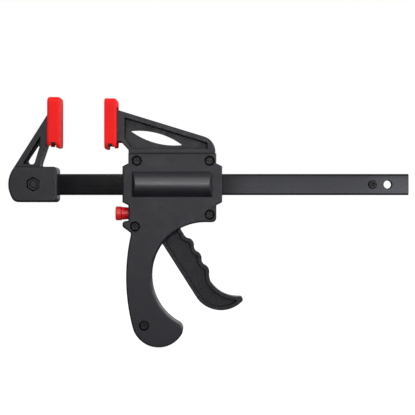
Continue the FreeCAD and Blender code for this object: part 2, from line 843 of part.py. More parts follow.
def draw_bulge(sketch, side, inset):
    """The rounded swelling round the drive spring, as a segment that starts at the split."""
    radius = S.bulge_radius - inset
    height = leg(radius, S.bulge_offset)
    half_angle = math.pi / 2 + math.asin(S.bulge_offset.value / radius.value)
    ends = [(ZERO, height), (ZERO, -height)]
    start, end = ends if side > 0 else ends[::-1]
    centre = Vector(-side * S.bulge_offset.value, 0, 0)
    middle = math.pi if side > 0 else 0.0
    arc = sketch.addGeometry(Part.ArcOfCircle(
        Part.Circle(centre, Vector(0, 0, 1), radius.value), middle - half_angle, middle + half_angle), False)
    flat = sketch.addGeometry(Part.LineSegment(
        Vector(end[0].value, end[1].value, 0), Vector(start[0].value, start[1].value, 0)), False)
    sketch.addConstraint(Sketcher.Constraint("Coincident", arc, 2, flat, 1))
    sketch.addConstraint(Sketcher.Constraint("Coincident", flat, 2, arc, 1))
    bind_point(sketch, arc, 3, S.bulge_offset * -side, ZERO)
    bind(sketch, radius, "Radius", arc)
    bind(sketch, ZERO, "DistanceX", -1, 1, flat, 1)
    bind(sketch, ZERO, "DistanceX", -1, 1, flat, 2)


def bulge_end_wall():
    """How far the hollow stays from the body's ends, for a full wall behind the sloped ends."""
    rise = S.bulge_radius + S.bulge_offset - S.wall - S.housing_half
    run = rise.times(cosine(S.bulge_end_angle)).over(sine(S.bulge_end_angle))
    return S.bulge_end_inset + run + S.wall.over(sine(S.bulge_end_angle))


def draw_bulge_slope(sketch, x, lean, side):
    """The wedge that is cut from one end of the bulge, so that it rises from the housing's face."""
    face = -S.housing_half * side
    reach = S.bulge_radius * side
    run = S.bulge_radius.times(cosine(S.bulge_end_angle)).over(sine(S.bulge_end_angle))
    foot = x + S.bulge_end_inset * lean
    corners = [
        (foot, face),
        (foot + run * lean, face - reach),
        (x - S.overrun * lean, face - reach),
        (x - S.overrun * lean, face),
    ]
    if lean * side > 0:
        corners.reverse()
    draw_outline(sketch, corners)


# Fasteners

def screw(name, x, z):
    """A pan head screw from the front, with a cross-shaped drive."""
    body = new_body(name)
    head = new_sketch(body, f"{name}_head_outline", "XZ_Plane", SCREW_SEAT)
    draw_circle(head, x, z, S.screw_head_diameter * 0.5)
    pad(body, f"{name}_head", head, S.screw_head_height)
    shank = new_sketch(body, f"{name}_shank_outline", "XZ_Plane", SCREW_SEAT)
    draw_circle(shank, x, z, S.screw_diameter * 0.5)
    pad(body, f"{name}_shank", shank, S.screw_length, reverse=True)
    rim = -(SCREW_SEAT + S.screw_head_height).value
    soften(body, f"{name}_head_round", S.screw_head_round, lambda edge: lies_at(edge, "Y", rim))
    drive = new_sketch(body, f"{name}_drive_outline", "XZ_Plane", SCREW_SEAT + S.screw_head_height)
    reach, half = S.screw_drive_length * 0.5, S.screw_drive_width * 0.5
    draw_outline(drive, [
        (x - half, z - reach), (x + half, z - reach), (x + half, z - half), (x + reach, z - half),
        (x + reach, z + half), (x + half, z + half), (x + half, z + reach), (x - half, z + reach),
        (x - half, z + half), (x - reach, z + half), (x - reach, z - half), (x - half, z - half),
    ])
    pocket(body, f"{name}_drive", drive, S.screw_drive_depth)
    return body


def hexagon(sketch, x, z, width):
    """A hexagon with a corner at the top, width across its flats."""
    corner = width * (1 / math.sqrt(3))
    turns = [math.radians(30 + 60 * index) for index in range(6)]
    draw_outline(sketch, [(x + corner * math.cos(a), z + corner * math.sin(a)) for a in turns])


def jaw_bolt():
    body = new_body("fixed_jaw_bolt")
    seat = S.hub_half - S.bolt_head_height - S.bolt_head_inset
    shank = new_sketch(body, "bolt_shank_outline", "XZ_Plane", S.hub_half - S.bolt_tip_inset)
    draw_circle(shank, BOLT_X, ZERO, S.bolt_diameter * 0.5)
    pad(body, "bolt_shank", shank, S.hub_half - S.bolt_tip_inset + seat, reverse=True)
    head = new_sketch(body, "bolt_head_outline", "XZ_Plane", -seat)
    draw_circle(head, BOLT_X, ZERO, S.bolt_head_diameter * 0.5)
    pad(body, "bolt_head", head, S.bolt_head_height, reverse=True)
    socket = new_sketch(body, "bolt_socket_outline", "XZ_Plane", -(seat + S.bolt_head_height))
    hexagon(socket, BOLT_X, ZERO, S.bolt_socket_width)
    pocket(body, "bolt_socket", socket, S.bolt_socket_depth, reverse=True)
    top = (seat + S.bolt_head_height).value
    tip = -(S.hub_half - S.bolt_tip_inset).value
    shank_edge = S.bolt_diameter.value * 0.5
    soften(
        body, "bolt_head_chamfer", S.bolt_chamfer,
        lambda edge: lies_at(edge, "Y", top) and edge.BoundBox.ZMax > shank_edge, kind="Chamfer")
    soften(
        body, "bolt_tip_chamfer", S.bolt_chamfer,
        lambda edge: lies_at(edge, "Y", tip), kind="Chamfer")
    return body


def jaw_nut():
    body = new_body("fixed_jaw_nut")
    face = S.hub_half - S.nut_recess_depth
    blank = new_sketch(body, "nut_outline", "XZ_Plane", face)
    hexagon(blank, BOLT_X, ZERO, S.nut_width)
    pad(body, "nut_blank", blank, S.nut_height)
    bore = new_sketch(body, "nut_bore_outline", "XZ_Plane", face + S.nut_height)
    draw_circle(bore, BOLT_X, ZERO, S.bolt_diameter * 0.5 + S.pivot_clearance)
    pocket(body, "nut_bore", bore, S.nut_height + S.overrun)
    outer = -(face + S.nut_height).value
    soften(
        body, "nut_chamfer_ring", S.nut_chamfer,
        lambda edge: lies_at(edge, "Y", outer) and not runs_round(edge), kind="Chamfer")
    return body


def runs_round(edge):
    return edge.Curve.TypeId == "Part::GeomCircle"


# Bar

def bar():
    body = new_body("bar")
    outline = new_sketch(body, "bar_outline", "XZ_Plane")
    draw_rectangle(outline, BAR_LEFT, BAR_RIGHT, S.bar_height * -0.5, S.bar_height * 0.5)
    pad(body, "bar_blank", outline, S.bar_thickness, both_sides=True)
    soften(body, "bar_edges", S.bar_chamfer, lambda edge: runs_along(edge, "x"), kind="Chamfer")
    holes = new_sketch(body, "bar_holes_outline", "XZ_Plane")
    draw_circle(holes, BAR_RIGHT - S.end_hole_margin, ZERO, S.end_hole_diameter * 0.5)
    draw_circle(
        holes, BAR_RIGHT - S.stop_pin_margin, ZERO, S.stop_pin_diameter * 0.5 + S.pivot_clearance)
    draw_circle(holes, BOLT_X, ZERO, S.bolt_diameter * 0.5 + S.bolt_clearance)
    pocket(body, "bar_holes", holes, S.bar_thickness + S.overrun, both_sides=True)
    return body


def stop_pin():
    """The pin that keeps the head on the bar. Its hollow, slotted ends look along the bar."""
    body = new_body("bar_stop_pin")
    x = BAR_RIGHT - S.stop_pin_margin
    ring = new_sketch(body, "stop_pin_outline", "XZ_Plane")
    draw_circle(ring, x, ZERO, S.stop_pin_diameter * 0.5)
    pad(body, "stop_pin_blank", ring, S.stop_pin_length, both_sides=True)
    for name, reverse, side in (("front", False, 1.0), ("rear", True, -1.0)):
        end = S.stop_pin_length * (0.5 * side)
        bore = new_sketch(body, f"stop_pin_bore_{name}_outline", "XZ_Plane", end)
        draw_circle(bore, x, ZERO, S.stop_pin_bore * 0.5)
        pocket(body, f"stop_pin_bore_{name}", bore, S.stop_pin_bore_depth, reverse=reverse)
        slot = new_sketch(body, f"stop_pin_slot_{name}_outline", "XZ_Plane", end)
        draw_rectangle(
            slot, x, x + S.stop_pin_diameter * 0.5 + S.overrun,
            S.stop_pin_slot * -0.5, S.stop_pin_slot * 0.5)
        pocket(body, f"stop_pin_slot_{name}", slot, S.stop_pin_bore_depth, reverse=reverse)
    return body


# Jaw pads

def jaw_pad(name, face_x, direction, rise, arm_half, neck_top):
    """A soft pad with a pocket for the jaw plate. It runs from its face in the given direction."""
    body = new_body(name)
    low, high = PAD_BOTTOM + rise, PAD_TOP + rise

    def span(near, far):
        first, second = face_x + near * direction, face_x + far * direction
        return (first, second) if direction > 0 else (second, first)

    def cut(feature, near, far, bottom, top, width):
        outline = new_sketch(body, f"{name}_{feature}_outline", "XZ_Plane")
        draw_rectangle(outline, *span(near, far), bottom, top)
        pocket(body, f"{name}_{feature}", outline, width, both_sides=True)

    block = new_sketch(body, f"{name}_block_outline", "XZ_Plane")
    draw_rectangle(block, *span(ZERO, S.pad_thickness), low, high)
    pad(body, f"{name}_block", block, S.pad_width, both_sides=True)
    soften(body, f"{name}_corner_round", S.pad_corner_round, lambda edge: runs_along(edge, "x"))
    back = (face_x + S.pad_thickness * direction).value
    soften(body, f"{name}_back_round", S.pad_back_round, lambda edge: lies_at(edge, "X", back))
    soften(
        body, f"{name}_face_round", S.pad_face_round, lambda edge: lies_at(edge, "X", face_x.value))

    plate_far = S.pad_front_wall + S.plate_thickness
    ceiling = high - S.pad_top_wall
    cut("pocket", S.pad_front_wall - S.pad_fit, plate_far + S.pad_fit,
        low - S.overrun, ceiling, S.plate_width + S.pad_fit * 2.0)
    cut("neck_slot", plate_far, S.pad_thickness + S.overrun,
        low - S.overrun, neck_top + S.pad_fit, arm_half * 2.0 + S.pad_fit * 2.0)
    cut("lip", plate_far + S.pad_fit, S.pad_thickness + S.overrun,
        low - S.overrun, low + S.pad_lip_rise, S.pad_width + S.overrun)
    cut("notch", S.pad_front_wall - S.pad_fit, plate_far + S.pad_fit,
        low - S.overrun, low + S.pad_notch_rise, S.pad_width + S.overrun)
    return body


# Fixed jaw

def fixed_jaw_line():
    """The key places of the fixed jaw's outline, and its outer and inner edges at a height."""
    plate_back = FIXED_FACE - S.pad_front_wall - S.plate_thickness
    right = FIXED_FACE - S.hub_setback
    left = right - S.hub_length
    nose_x = left + S.hub_nose_reach
    outer_slope = (plate_back - nose_x).over(JAW_TIP_Z - S.hub_nose_height)
    neck_x = plate_back - S.jaw_neck_reach
    neck_z = S.hub_top + S.jaw_neck_rise
    under_x = plate_back - S.jaw_under_reach
    inner_slope = (under_x - neck_x).over(JAW_UNDER_Z - neck_z)

    def outer(z):
        return nose_x + (z - S.hub_nose_height).times(outer_slope)

    def inner(z):
        return neck_x + (z - neck_z).times(inner_slope)

    return plate_back, left, right, nose_x, neck_x, neck_z, under_x, outer, inner


def draw_hub(sketch):
    """The block round the bar's end. Its nose and chin carry on smoothly from the outer edge."""
    plate_back, _, right, nose_x, _, _, _, outer, _ = fixed_jaw_line()
    corner = S.hub_corner_round
    lean = math.atan2(
        plate_back.value - nose_x.value, JAW_TIP_Z.value - S.hub_nose_height.value)
    nose_bulge = math.tan(lean / 2)
    chin_turn = math.pi / 2 - lean
    chin_bulge = math.tan(chin_turn / 4)
    nose_low = S.hub_chin_run * math.tan(chin_turn / 2) - S.hub_drop
    draw_outline(sketch, [
        (nose_x, nose_low, chin_bulge),
        (nose_x + S.hub_chin_run, -S.hub_drop),
        (right - corner, -S.hub_drop, QUARTER_TURN_BULGE),
        (right, corner - S.hub_drop),
        (right, S.hub_top - corner, QUARTER_TURN_BULGE),
        (right - corner, S.hub_top),
        (outer(S.hub_top), S.hub_top),
        (nose_x, S.hub_nose_height, nose_bulge),
    ])


def draw_jaw_arm(sketch):
    plate_back, _, _, nose_x, neck_x, neck_z, under_x, _, _ = fixed_jaw_line()
    low = S.hub_top - S.hub_corner_round
    draw_outline(sketch, [
        (nose_x + S.hub_chin_run, low),
        (neck_x, low),
        (neck_x, neck_z),
        (under_x, JAW_UNDER_Z),
        (plate_back, JAW_UNDER_Z),
        (plate_back, JAW_TIP_Z),
        (nose_x, S.hub_nose_height),
    ])


def draw_jaw_recess(sketch):
    _, _, _, _, _, _, _, outer, inner = fixed_jaw_line()
    floor = S.hub_top + S.jaw_recess_rise
    bend = floor + S.jaw_recess_bend
    top = floor + S.jaw_recess_height
    draw_outline(sketch, [
        (outer(floor) + S.jaw_outer_rib, floor),
        (inner(floor) - S.jaw_inner_rib, floor),
        (inner(bend) - S.jaw_inner_rib, bend),
        (outer(top) + S.jaw_outer_rib, top),
    ])


def draw_jaw_slot(sketch):
    """The tapered slot through the fixed jaw's web, leaning with the jaw."""
    _, _, _, _, _, _, _, _, inner = fixed_jaw_line()
    lean = math.radians(S.jaw_slot_lean.value)
    radius, tip_radius = S.jaw_slot_radius, S.jaw_slot_tip_radius
    low_z = S.hub_top + S.jaw_recess_rise + radius
    low_x = inner(low_z) - S.jaw_slot_inset
    high_x = low_x + S.jaw_slot_length.times(sine(S.jaw_slot_lean))
    high_z = low_z + S.jaw_slot_length.times(cosine(S.jaw_slot_lean))
    taper = math.asin((radius.value - tip_radius.value) / S.jaw_slot_length.value)
    right_side, left_side = taper - lean, math.pi - taper - lean

    def on_circle(x, z, size, angle):
        return x + size * math.cos(angle), z + size * math.sin(angle)

    draw_outline(sketch, [
        on_circle(low_x, low_z, radius, right_side),
        (*on_circle(high_x, high_z, tip_radius, right_side), math.tan((math.pi - 2 * taper) / 4)),
        on_circle(high_x, high_z, tip_radius, left_side),
        (*on_circle(low_x, low_z, radius, left_side), math.tan((math.pi + 2 * taper) / 4)),
    ])


def fixed_jaw():
    body = new_body("fixed_jaw")
    plate_back, _, right, _, _, _, _, _, _ = fixed_jaw_line()
    hub = new_sketch(body, "jaw_hub_outline", "XZ_Plane")
    draw_hub(hub)
    pad(body, "jaw_hub", hub, S.hub_half * 2.0, both_sides=True)
    face = S.hub_half.value
    soften(
        body, "jaw_hub_round", S.hub_edge_round,
        lambda edge: lies_at(edge, "Y", face) or lies_at(edge, "Y", -face))
    arm = new_sketch(body, "jaw_arm_outline", "XZ_Plane")
    draw_jaw_arm(arm)
    pad(body, "jaw_arm", arm, S.jaw_arm_half * 2.0, both_sides=True)
    for name, reverse, side in (("front", False, 1.0), ("rear", True, -1.0)):
        recess = new_sketch(body, f"jaw_recess_{name}_outline", "XZ_Plane", S.hub_half * side)
        draw_jaw_recess(recess)
        pocket(body, f"jaw_recess_{name}", recess, S.hub_half - S.jaw_web_half, reverse=reverse)
    slot = new_sketch(body, "jaw_slot_outline", "XZ_Plane")
    draw_jaw_slot(slot)
    pocket(body, "jaw_slot", slot, S.jaw_web_half * 2.0 + S.overrun, both_sides=True)
    plate = new_sketch(body, "jaw_plate_outline", "XZ_Plane")
    draw_rectangle(
        plate, plate_back, plate_back + S.plate_thickness,
        PAD_BOTTOM + S.fixed_pad_rise + S.plate_bottom_gap,
        PAD_TOP + S.fixed_pad_rise - S.pad_top_wall - S.pad_fit)
    pad(body, "jaw_plate", plate, S.plate_width, both_sides=True)

    socket = new_sketch(body, "bar_socket_outline", "XZ_Plane")
    half = S.bar_height * 0.5 + S.bar_clearance
    draw_rectangle(socket, BAR_LEFT - S.bar_clearance, right + S.overrun, -half, half)
    pocket(body, "bar_socket", socket, S.bar_thickness + S.bar_clearance * 2.0, both_sides=True)
    bore = new_sketch(body, "jaw_bolt_bore_outline", "XZ_Plane")
    draw_circle(bore, BOLT_X, ZERO, S.bolt_diameter * 0.5 + S.bolt_clearance)
    pocket(body, "jaw_bolt_bore", bore, S.hub_half * 2.0 + S.overrun, both_sides=True)
    nut_recess = new_sketch(body, "nut_recess_outline", "XZ_Plane", S.hub_half)
    hexagon(nut_recess, BOLT_X, ZERO, S.nut_width + S.nut_clearance * 2.0)
    pocket(body, "nut_recess", nut_recess, S.nut_recess_depth)
    head_recess = new_sketch(body, "head_recess_outline", "XZ_Plane", -S.hub_half)
    draw_circle(head_recess, BOLT_X, ZERO, S.bolt_head_diameter * 0.5 + S.nut_clearance)
    pocket(
        body, "head_recess", head_recess, S.bolt_head_height + S.bolt_head_inset, reverse=True)
    return body


# Trigger

# Shares of the blade's length from the pivot, the bulge of the next side, the normal's angle.
# The web's recess ends in a round of its own, short of the blade's tip.

BLADE_TIP_SHARES = (
    (0.327, -0.875, 0.45, 215.0),
    (0.791, -0.911, 0.69, 307.0),
    (0.780, -0.855, -0.277, 85.0),
)
WEB_TIP_SHARES = (
    (0.327, -0.875, 0.403, 215.0),
    (0.752, -0.942, 0.705, 304.9),
    (0.7285, -0.8543, -0.237, 85.65),
)


def trigger_corners(inset, tip_shares):
    """The blade as x, z and bulge. The ridges between the fingers come from a loop."""
    length = S.trigger_length
    ridge_bulge = math.tan(math.radians(S.ridge_turn.value / 4))
    lower_shares = (
        (-0.053, -0.278, 0.0, 212.0),
        *tip_shares,
        (0.464, -0.695, -0.1, 33.0),
    )
    upper_shares = (
        (0.180, -0.195, -0.1, 20.0),
        (0.148, -0.141, 0.0, 0.0),
    )

    def corner(x, z, bulge, angle):
        radians = math.radians(angle)
        return (
            PIVOT_X + x - inset * math.cos(radians), PIVOT_Z + z - inset * math.sin(radians), bulge)

    corners = [corner(length * x, length * z, bulge, angle) for x, z, bulge, angle in lower_shares]
    ridge_x, ridge_z = (length * share for share in lower_shares[-1][:2])
    along = math.radians(S.ridge_line_angle.value)
    out = along - math.pi / 2
    for index in range(3):
        middle = S.ridge_first + S.ridge_pitch * index
        for side in (-0.5, 0.5):
            reach = middle + S.ridge_width * side
            x = ridge_x + reach * math.cos(along) + S.ridge_base * math.cos(out)
            z = ridge_z + reach * math.sin(along) + S.ridge_base * math.sin(out)
            normal = math.degrees(out) + S.ridge_turn.value * side
            corners.append(corner(x, z, -math.copysign(ridge_bulge, side), normal))
    corners += [corner(length * x, length * z, bulge, angle) for x, z, bulge, angle in upper_shares]
    return corners


def trigger():
    body = new_body("trigger")
    boss_radius = S.trigger_boss_diameter * 0.5
    root_share = 0.9
    root = boss_radius * root_share
    blade = new_sketch(body, "trigger_blade_outline", "XZ_Plane")
    top = [(PIVOT_X + root, PIVOT_Z), (PIVOT_X - root, PIVOT_Z)]
    draw_outline(blade, trigger_corners(ZERO, BLADE_TIP_SHARES) + top)
    pad(body, "trigger_blade", blade, S.trigger_half * 2.0, both_sides=True)
    boss = new_sketch(body, "trigger_boss_outline", "XZ_Plane")
    draw_circle(boss, PIVOT_X, PIVOT_Z, boss_radius)
    pad(body, "trigger_boss", boss, S.trigger_half * 2.0, both_sides=True)
    lobe = new_sketch(body, "trigger_lobe_outline", "XZ_Plane")
    tip_x, tip_z = PIVOT_X + S.lobe_reach, PIVOT_Z + S.lobe_rise
    draw_outline(lobe, [
        (PIVOT_X - root, PIVOT_Z),
        (PIVOT_X + root, PIVOT_Z),
        (tip_x, tip_z - S.lobe_round, QUARTER_TURN_BULGE),
        (tip_x - S.lobe_round, tip_z),
        (tip_x - S.lobe_width, tip_z),
    ])
    pad(body, "trigger_lobe", lobe, S.trigger_half * 2.0, both_sides=True)
    for name, reverse, side in (("front", False, 1.0), ("rear", True, -1.0)):
        web = new_sketch(body, f"trigger_web_{name}_outline", "XZ_Plane", S.trigger_half * side)
        draw_outline(web, trigger_corners(S.trigger_rim, WEB_TIP_SHARES))
        pocket(body, f"trigger_web_{name}", web, S.trigger_half - S.trigger_web_half, reverse=reverse)
    bore = new_sketch(body, "trigger_bore_outline", "XZ_Plane")
    draw_circle(bore, PIVOT_X, PIVOT_Z, PIVOT_BORE)
    pocket(body, "trigger_bore", bore, S.trigger_half * 2.0 + S.overrun, both_sides=True)
    return body


def pivot_pin():
    body = new_body("trigger_pivot_pin")
    outline = new_sketch(body, "pivot_pin_outline", "XZ_Plane")
    draw_circle(outline, PIVOT_X, PIVOT_Z, S.pivot_diameter * 0.5)
    pad(body, "pivot_pin_blank", outline, (CAVITY_DEPTH - S.pivot_clearance) * 2.0, both_sides=True)
    return body


# Clamping mechanism

def plate_window(body, name, plane_x, middle, height, depth):
    window = new_sketch(body, f"{name}_window_outline", "YZ_Plane", plane_x)
    half_width = S.bar_thickness * 0.5 + S.plate_window_clearance
    draw_rectangle(window, -half_width, half_width, middle - height * 0.5, middle + height * 0.5)
    pocket(body, f"{name}_window", window, depth, both_sides=True)


def drive_plate(name, left):
    body = new_body(name)
    half = S.drive_plate_width * 0.5
    middle = left + S.drive_plate_thickness * 0.5
    outline = new_sketch(body, f"{name}_outline", "YZ_Plane", middle)
    draw_rectangle(outline, -half, half, -S.drive_plate_bottom, S.drive_plate_top)
    pad(body, f"{name}_blank", outline, S.drive_plate_thickness, both_sides=True)
    height = S.bar_height + S.plate_window_clearance * 2.0
    plate_window(body, name, middle, ZERO, height, S.drive_plate_thickness + S.overrun)
    return body


def brake_plate():
    """Drawn upright about its pivot line, then leant back with its foot towards the button."""
    body = new_body("brake_plate")
    half = S.brake_plate_width * 0.5
    outline = new_sketch(body, "brake_plate_outline", "YZ_Plane")
    draw_rectangle(outline, -half, half, -S.brake_plate_drop, S.brake_plate_head)
    pad(body, "brake_plate_blank", outline, S.brake_plate_thickness, both_sides=True)
    middle = -(S.brake_pivot_height.over(cosine(S.brake_lean)))
    plate_window(
        body, "brake_plate", ZERO, middle, S.brake_window_height, S.brake_plate_thickness + S.overrun)
    body.Placement = Placement(Vector(), Rotation(Vector(0, 1, 0), S.brake_lean.value))
    body.setExpression("Placement.Base.x", BRAKE_X.text)
    body.setExpression("Placement.Base.z", (S.brake_pivot_height - S.pad_centre_height).text)
    body.setExpression("Placement.Rotation.Angle", f"{S.brake_lean.text} * 1 deg")
    return body


def brake_face_x(z, side):
    """Where the leaning brake plate's left (-1) or right (1) face is, at the height z."""
    drop = S.brake_pivot_height - z
    lean = sine(S.brake_lean).over(cosine(S.brake_lean))
    face = (S.brake_plate_thickness * 0.5 * side).over(cosine(S.brake_lean))
    return BRAKE_X - drop.times(lean) + face


def release_button():
    """A turned plunger: head, tapering waist, shank, flange inside the wall, and a nose."""
    body = new_body("release_button")
    profile = new_sketch(body, "button_profile", "XZ_Plane")
    nose_end = brake_face_x(BUTTON_Z - S.button_nose_diameter * 0.5, -1.0) - S.button_nose_gap
    flange_left = S.body_left + S.wall + S.button_flange_gap
    flange_right = flange_left + S.button_flange_length
    head_left = S.body_left - S.button_standoff - S.button_head_length
    head_right = S.body_left - S.button_standoff
    taper_right = S.body_left - S.button_taper_gap
    head = S.button_head_diameter * 0.5
    waist = S.button_waist_diameter * 0.5
    shank = S.button_shank_diameter * 0.5
    flange = S.button_flange_diameter * 0.5
    nose = S.button_nose_diameter * 0.5
    corner = S.button_head_round
    draw_outline(profile, [
        (head_left, BUTTON_Z),
        (nose_end, BUTTON_Z),
        (nose_end, BUTTON_Z + nose),
        (flange_right, BUTTON_Z + nose),
        (flange_right, BUTTON_Z + flange),
        (flange_left, BUTTON_Z + flange),
        (flange_left, BUTTON_Z + shank),
        (taper_right, BUTTON_Z + shank),
        (head_right, BUTTON_Z + waist),
        (head_right, BUTTON_Z + head - corner, QUARTER_TURN_BULGE),
        (head_right - corner, BUTTON_Z + head),
        (head_left + corner, BUTTON_Z + head, QUARTER_TURN_BULGE),
        (head_left, BUTTON_Z + head - corner),
    ])
    turn(body, "button_turning", profile, BUTTON_Z)
    return body


def biarc(start, start_tangent, end, end_tangent):
    """Two arcs that join two points and keep both tangents."""
    span = end - start
    both = start_tangent + end_tangent
    spread = 2 * (1 - start_tangent.dot(end_tangent))
    reach = (math.sqrt(span.dot(both) ** 2 + spread * span.dot(span)) - span.dot(both)) / spread
    middle = (start + end) * 0.5 + (start_tangent - end_tangent) * (reach * 0.5)
    return [arc_from(start, start_tangent, middle), arc_from(middle, None, end, end_tangent)]


def arc_from(start, start_tangent, end, end_tangent=None):
    """An arc from start to end, given the tangent at one of them."""
    chord = end - start
    tangent = start_tangent if start_tangent is not None else end_tangent
    unit = Vector(chord).normalize()
    aside = tangent - unit * tangent.dot(unit)
    half_turn = math.atan2(aside.Length, tangent.dot(unit))
    direction = aside.normalize() * (1 if start_tangent is not None else -1)
    middle = (start + end) * 0.5 + direction * (chord.Length * 0.5 * math.tan(half_turn * 0.5))
    return Part.Arc(start, middle, end).toShape()


def coil_spring(name, diameter, wire, turns, left, right, z):
    """A compression spring along X: one unbroken tube on quarter turns."""
    radius = (diameter.value - wire.value) * 0.5
    first = left.value + wire.value * 0.5
    length = right.value - left.value - wire.value
    quarters = round(turns.value * 4)
    rise = length / quarters
    points, tangents = [], []
    for index in range(quarters + 1):
        angle = index * math.pi / 2
        points.append(Vector(
            first + rise * index, radius * math.cos(angle), z.value + radius * math.sin(angle)))
        tangents.append(Vector(
            rise * 2 / math.pi, -radius * math.sin(angle), radius * math.cos(angle)).normalize())
    edges = []
    for index in range(quarters):
        edges += biarc(points[index], tangents[index], points[index + 1], tangents[index + 1])
    spine = Part.Wire(edges)
    section = Part.Wire(Part.Circle(points[0], tangents[0], wire.value * 0.5).toShape())
    node = doc.addObject("Part::Feature", name)
    node.Label = name
    node.Shape = spine.makePipeShell([section], True, False)
    node.Placement = Placement(Vector(0, 0, -S.pad_centre_height.value), Rotation())
    NODES.append(node)
    print(f"{name}: {turns.value} turns, least gap to itself {least_gap(edges, wire):.2f} mm")
    return node


def least_gap(edges, wire):
    """The least gap between two turns, measured on points along the coil's centreline."""
    points = []
    for edge in edges:
        points += edge.discretize(POINTS_PER_ARC)[:-1]
    half_turn = 4 * (POINTS_PER_ARC - 1)
    reach = min(
        (points[later] - points[earlier]).Length
        for earlier in range(len(points))
        for later in range(earlier + half_turn, len(points)))
    return reach - wire.value


# The whole clamp

housing_half("housing_front", rear=False)
housing_half("housing_rear", rear=True)
for number, place in enumerate(screw_places(), start=1):
    screw(f"housing_screw_{number}", *place)
_, _, arm_height = arm_line()
jaw_pad("moving_jaw_pad", ZERO, 1.0, ZERO, S.arm_half, arm_height(S.pad_front_wall))
pivot_pin()

bar()
fixed_jaw()
jaw_pad("fixed_jaw_pad", FIXED_FACE, -1.0, S.fixed_pad_rise, S.jaw_arm_half, JAW_TIP_Z)
jaw_bolt()
jaw_nut()
stop_pin()

trigger()
drive_plate("drive_plate_1", DRIVE_LEFT)
drive_plate("drive_plate_2", DRIVE_LEFT + S.drive_plate_thickness)
brake_plate()
release_button()
coil_spring(
    "drive_spring", S.drive_spring_diameter, S.drive_spring_wire, S.drive_spring_turns,
    DRIVE_RIGHT + S.spring_seat_clearance, BODY_RIGHT - S.wall - S.spring_seat_clearance, ZERO)
BRAKE_SPRING_Z = -S.brake_spring_height
coil_spring(
    "brake_spring", S.brake_spring_diameter, S.brake_spring_wire, S.brake_spring_turns,
    brake_face_x(BRAKE_SPRING_Z + S.brake_spring_diameter * 0.5, 1.0) + S.spring_seat_clearance,
    BRAKE_SEAT_X - S.spring_seat_clearance, BRAKE_SPRING_Z)

doc.recompute()
for item in doc.Objects:
    if "Invalid" in item.State or "Error" in item.State:
        raise RuntimeError(f"{item.Name}: {item.State}")
os.makedirs("parts", exist_ok=True)
for node in NODES:
    shape = node.Shape
    if shape.isNull() or not shape.isValid():
        raise RuntimeError(f"{node.Label} has no valid shape")
for node in NODES:
    node.Shape.exportStep(f"parts/{node.Label}.step")
print(f"{len(NODES)} nodes written")
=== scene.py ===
import json
import math

import bmesh
import bpy
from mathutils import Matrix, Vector

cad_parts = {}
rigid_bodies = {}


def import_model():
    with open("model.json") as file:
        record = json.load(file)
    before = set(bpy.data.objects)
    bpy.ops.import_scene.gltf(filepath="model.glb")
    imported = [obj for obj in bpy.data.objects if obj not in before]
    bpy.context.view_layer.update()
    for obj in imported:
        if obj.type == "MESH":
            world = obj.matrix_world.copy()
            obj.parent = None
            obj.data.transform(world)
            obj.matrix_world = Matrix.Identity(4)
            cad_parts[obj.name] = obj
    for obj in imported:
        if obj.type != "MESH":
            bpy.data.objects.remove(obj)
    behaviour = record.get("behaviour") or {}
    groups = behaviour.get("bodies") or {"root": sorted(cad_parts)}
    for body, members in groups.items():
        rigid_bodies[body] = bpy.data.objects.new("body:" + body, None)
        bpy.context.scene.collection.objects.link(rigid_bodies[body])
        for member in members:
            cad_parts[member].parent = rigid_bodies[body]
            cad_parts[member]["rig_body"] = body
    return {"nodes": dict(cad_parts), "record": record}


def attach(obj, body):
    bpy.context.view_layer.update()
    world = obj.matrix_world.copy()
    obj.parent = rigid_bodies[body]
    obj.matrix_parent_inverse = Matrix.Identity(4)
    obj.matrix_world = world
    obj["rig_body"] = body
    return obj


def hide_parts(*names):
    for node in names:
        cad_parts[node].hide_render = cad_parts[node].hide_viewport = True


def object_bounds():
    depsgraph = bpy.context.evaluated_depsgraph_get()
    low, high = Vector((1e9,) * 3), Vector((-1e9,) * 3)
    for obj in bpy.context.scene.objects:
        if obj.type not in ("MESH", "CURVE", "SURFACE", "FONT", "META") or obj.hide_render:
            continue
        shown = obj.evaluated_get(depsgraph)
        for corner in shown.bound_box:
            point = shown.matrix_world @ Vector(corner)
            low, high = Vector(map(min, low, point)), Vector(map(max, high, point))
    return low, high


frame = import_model()
cadNodes = frame["nodes"]
cadBox = [list(corner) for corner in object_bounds()]
print("frame loaded:", len(cadNodes), "nodes")

mm = 0.001


# camera, floor and light

cameraSetup = {
    "place": (0.06881, -0.8, -0.05608),
    "lens": 102.82,
    "sensor": 36.0,
    "nearest": 0.01,
    "tilt": math.radians(90),       # level, along +Y
}

studio = {
    "floorDrop": 0.4 * mm,          # the floor lies this far under the handle
    "floorSize": 8.0,
    "floorColour": (0.20, 0.20, 0.20),
    "floorShade": (0.03, 0.03, 0.03),   # the floor as gloss and matt surfaces meet it
    "floorLift": 0.95,              # brings the lit floor up to white for the camera
    "floorGloss": 0.02,             # the same for gloss, so that undersides stay dark
    "floorBounce": 0.40,            # and what it gives to matt surfaces
    "fillHigh": 0.74,               # what the room gives to matt surfaces from above
    "fillLow": 0.14,                # and from below
    "fillTurn": 0.6,                # it changes between directions this steep, down and up
    "glossDim": 0.16,               # the dim part of the room, as gloss shows it
    "glossFrom": 0.45,              # gloss sees white from here on towards the backdrop
    "glossTo": 0.95,
    "aim": (0.07, 0.0, -0.05),
}

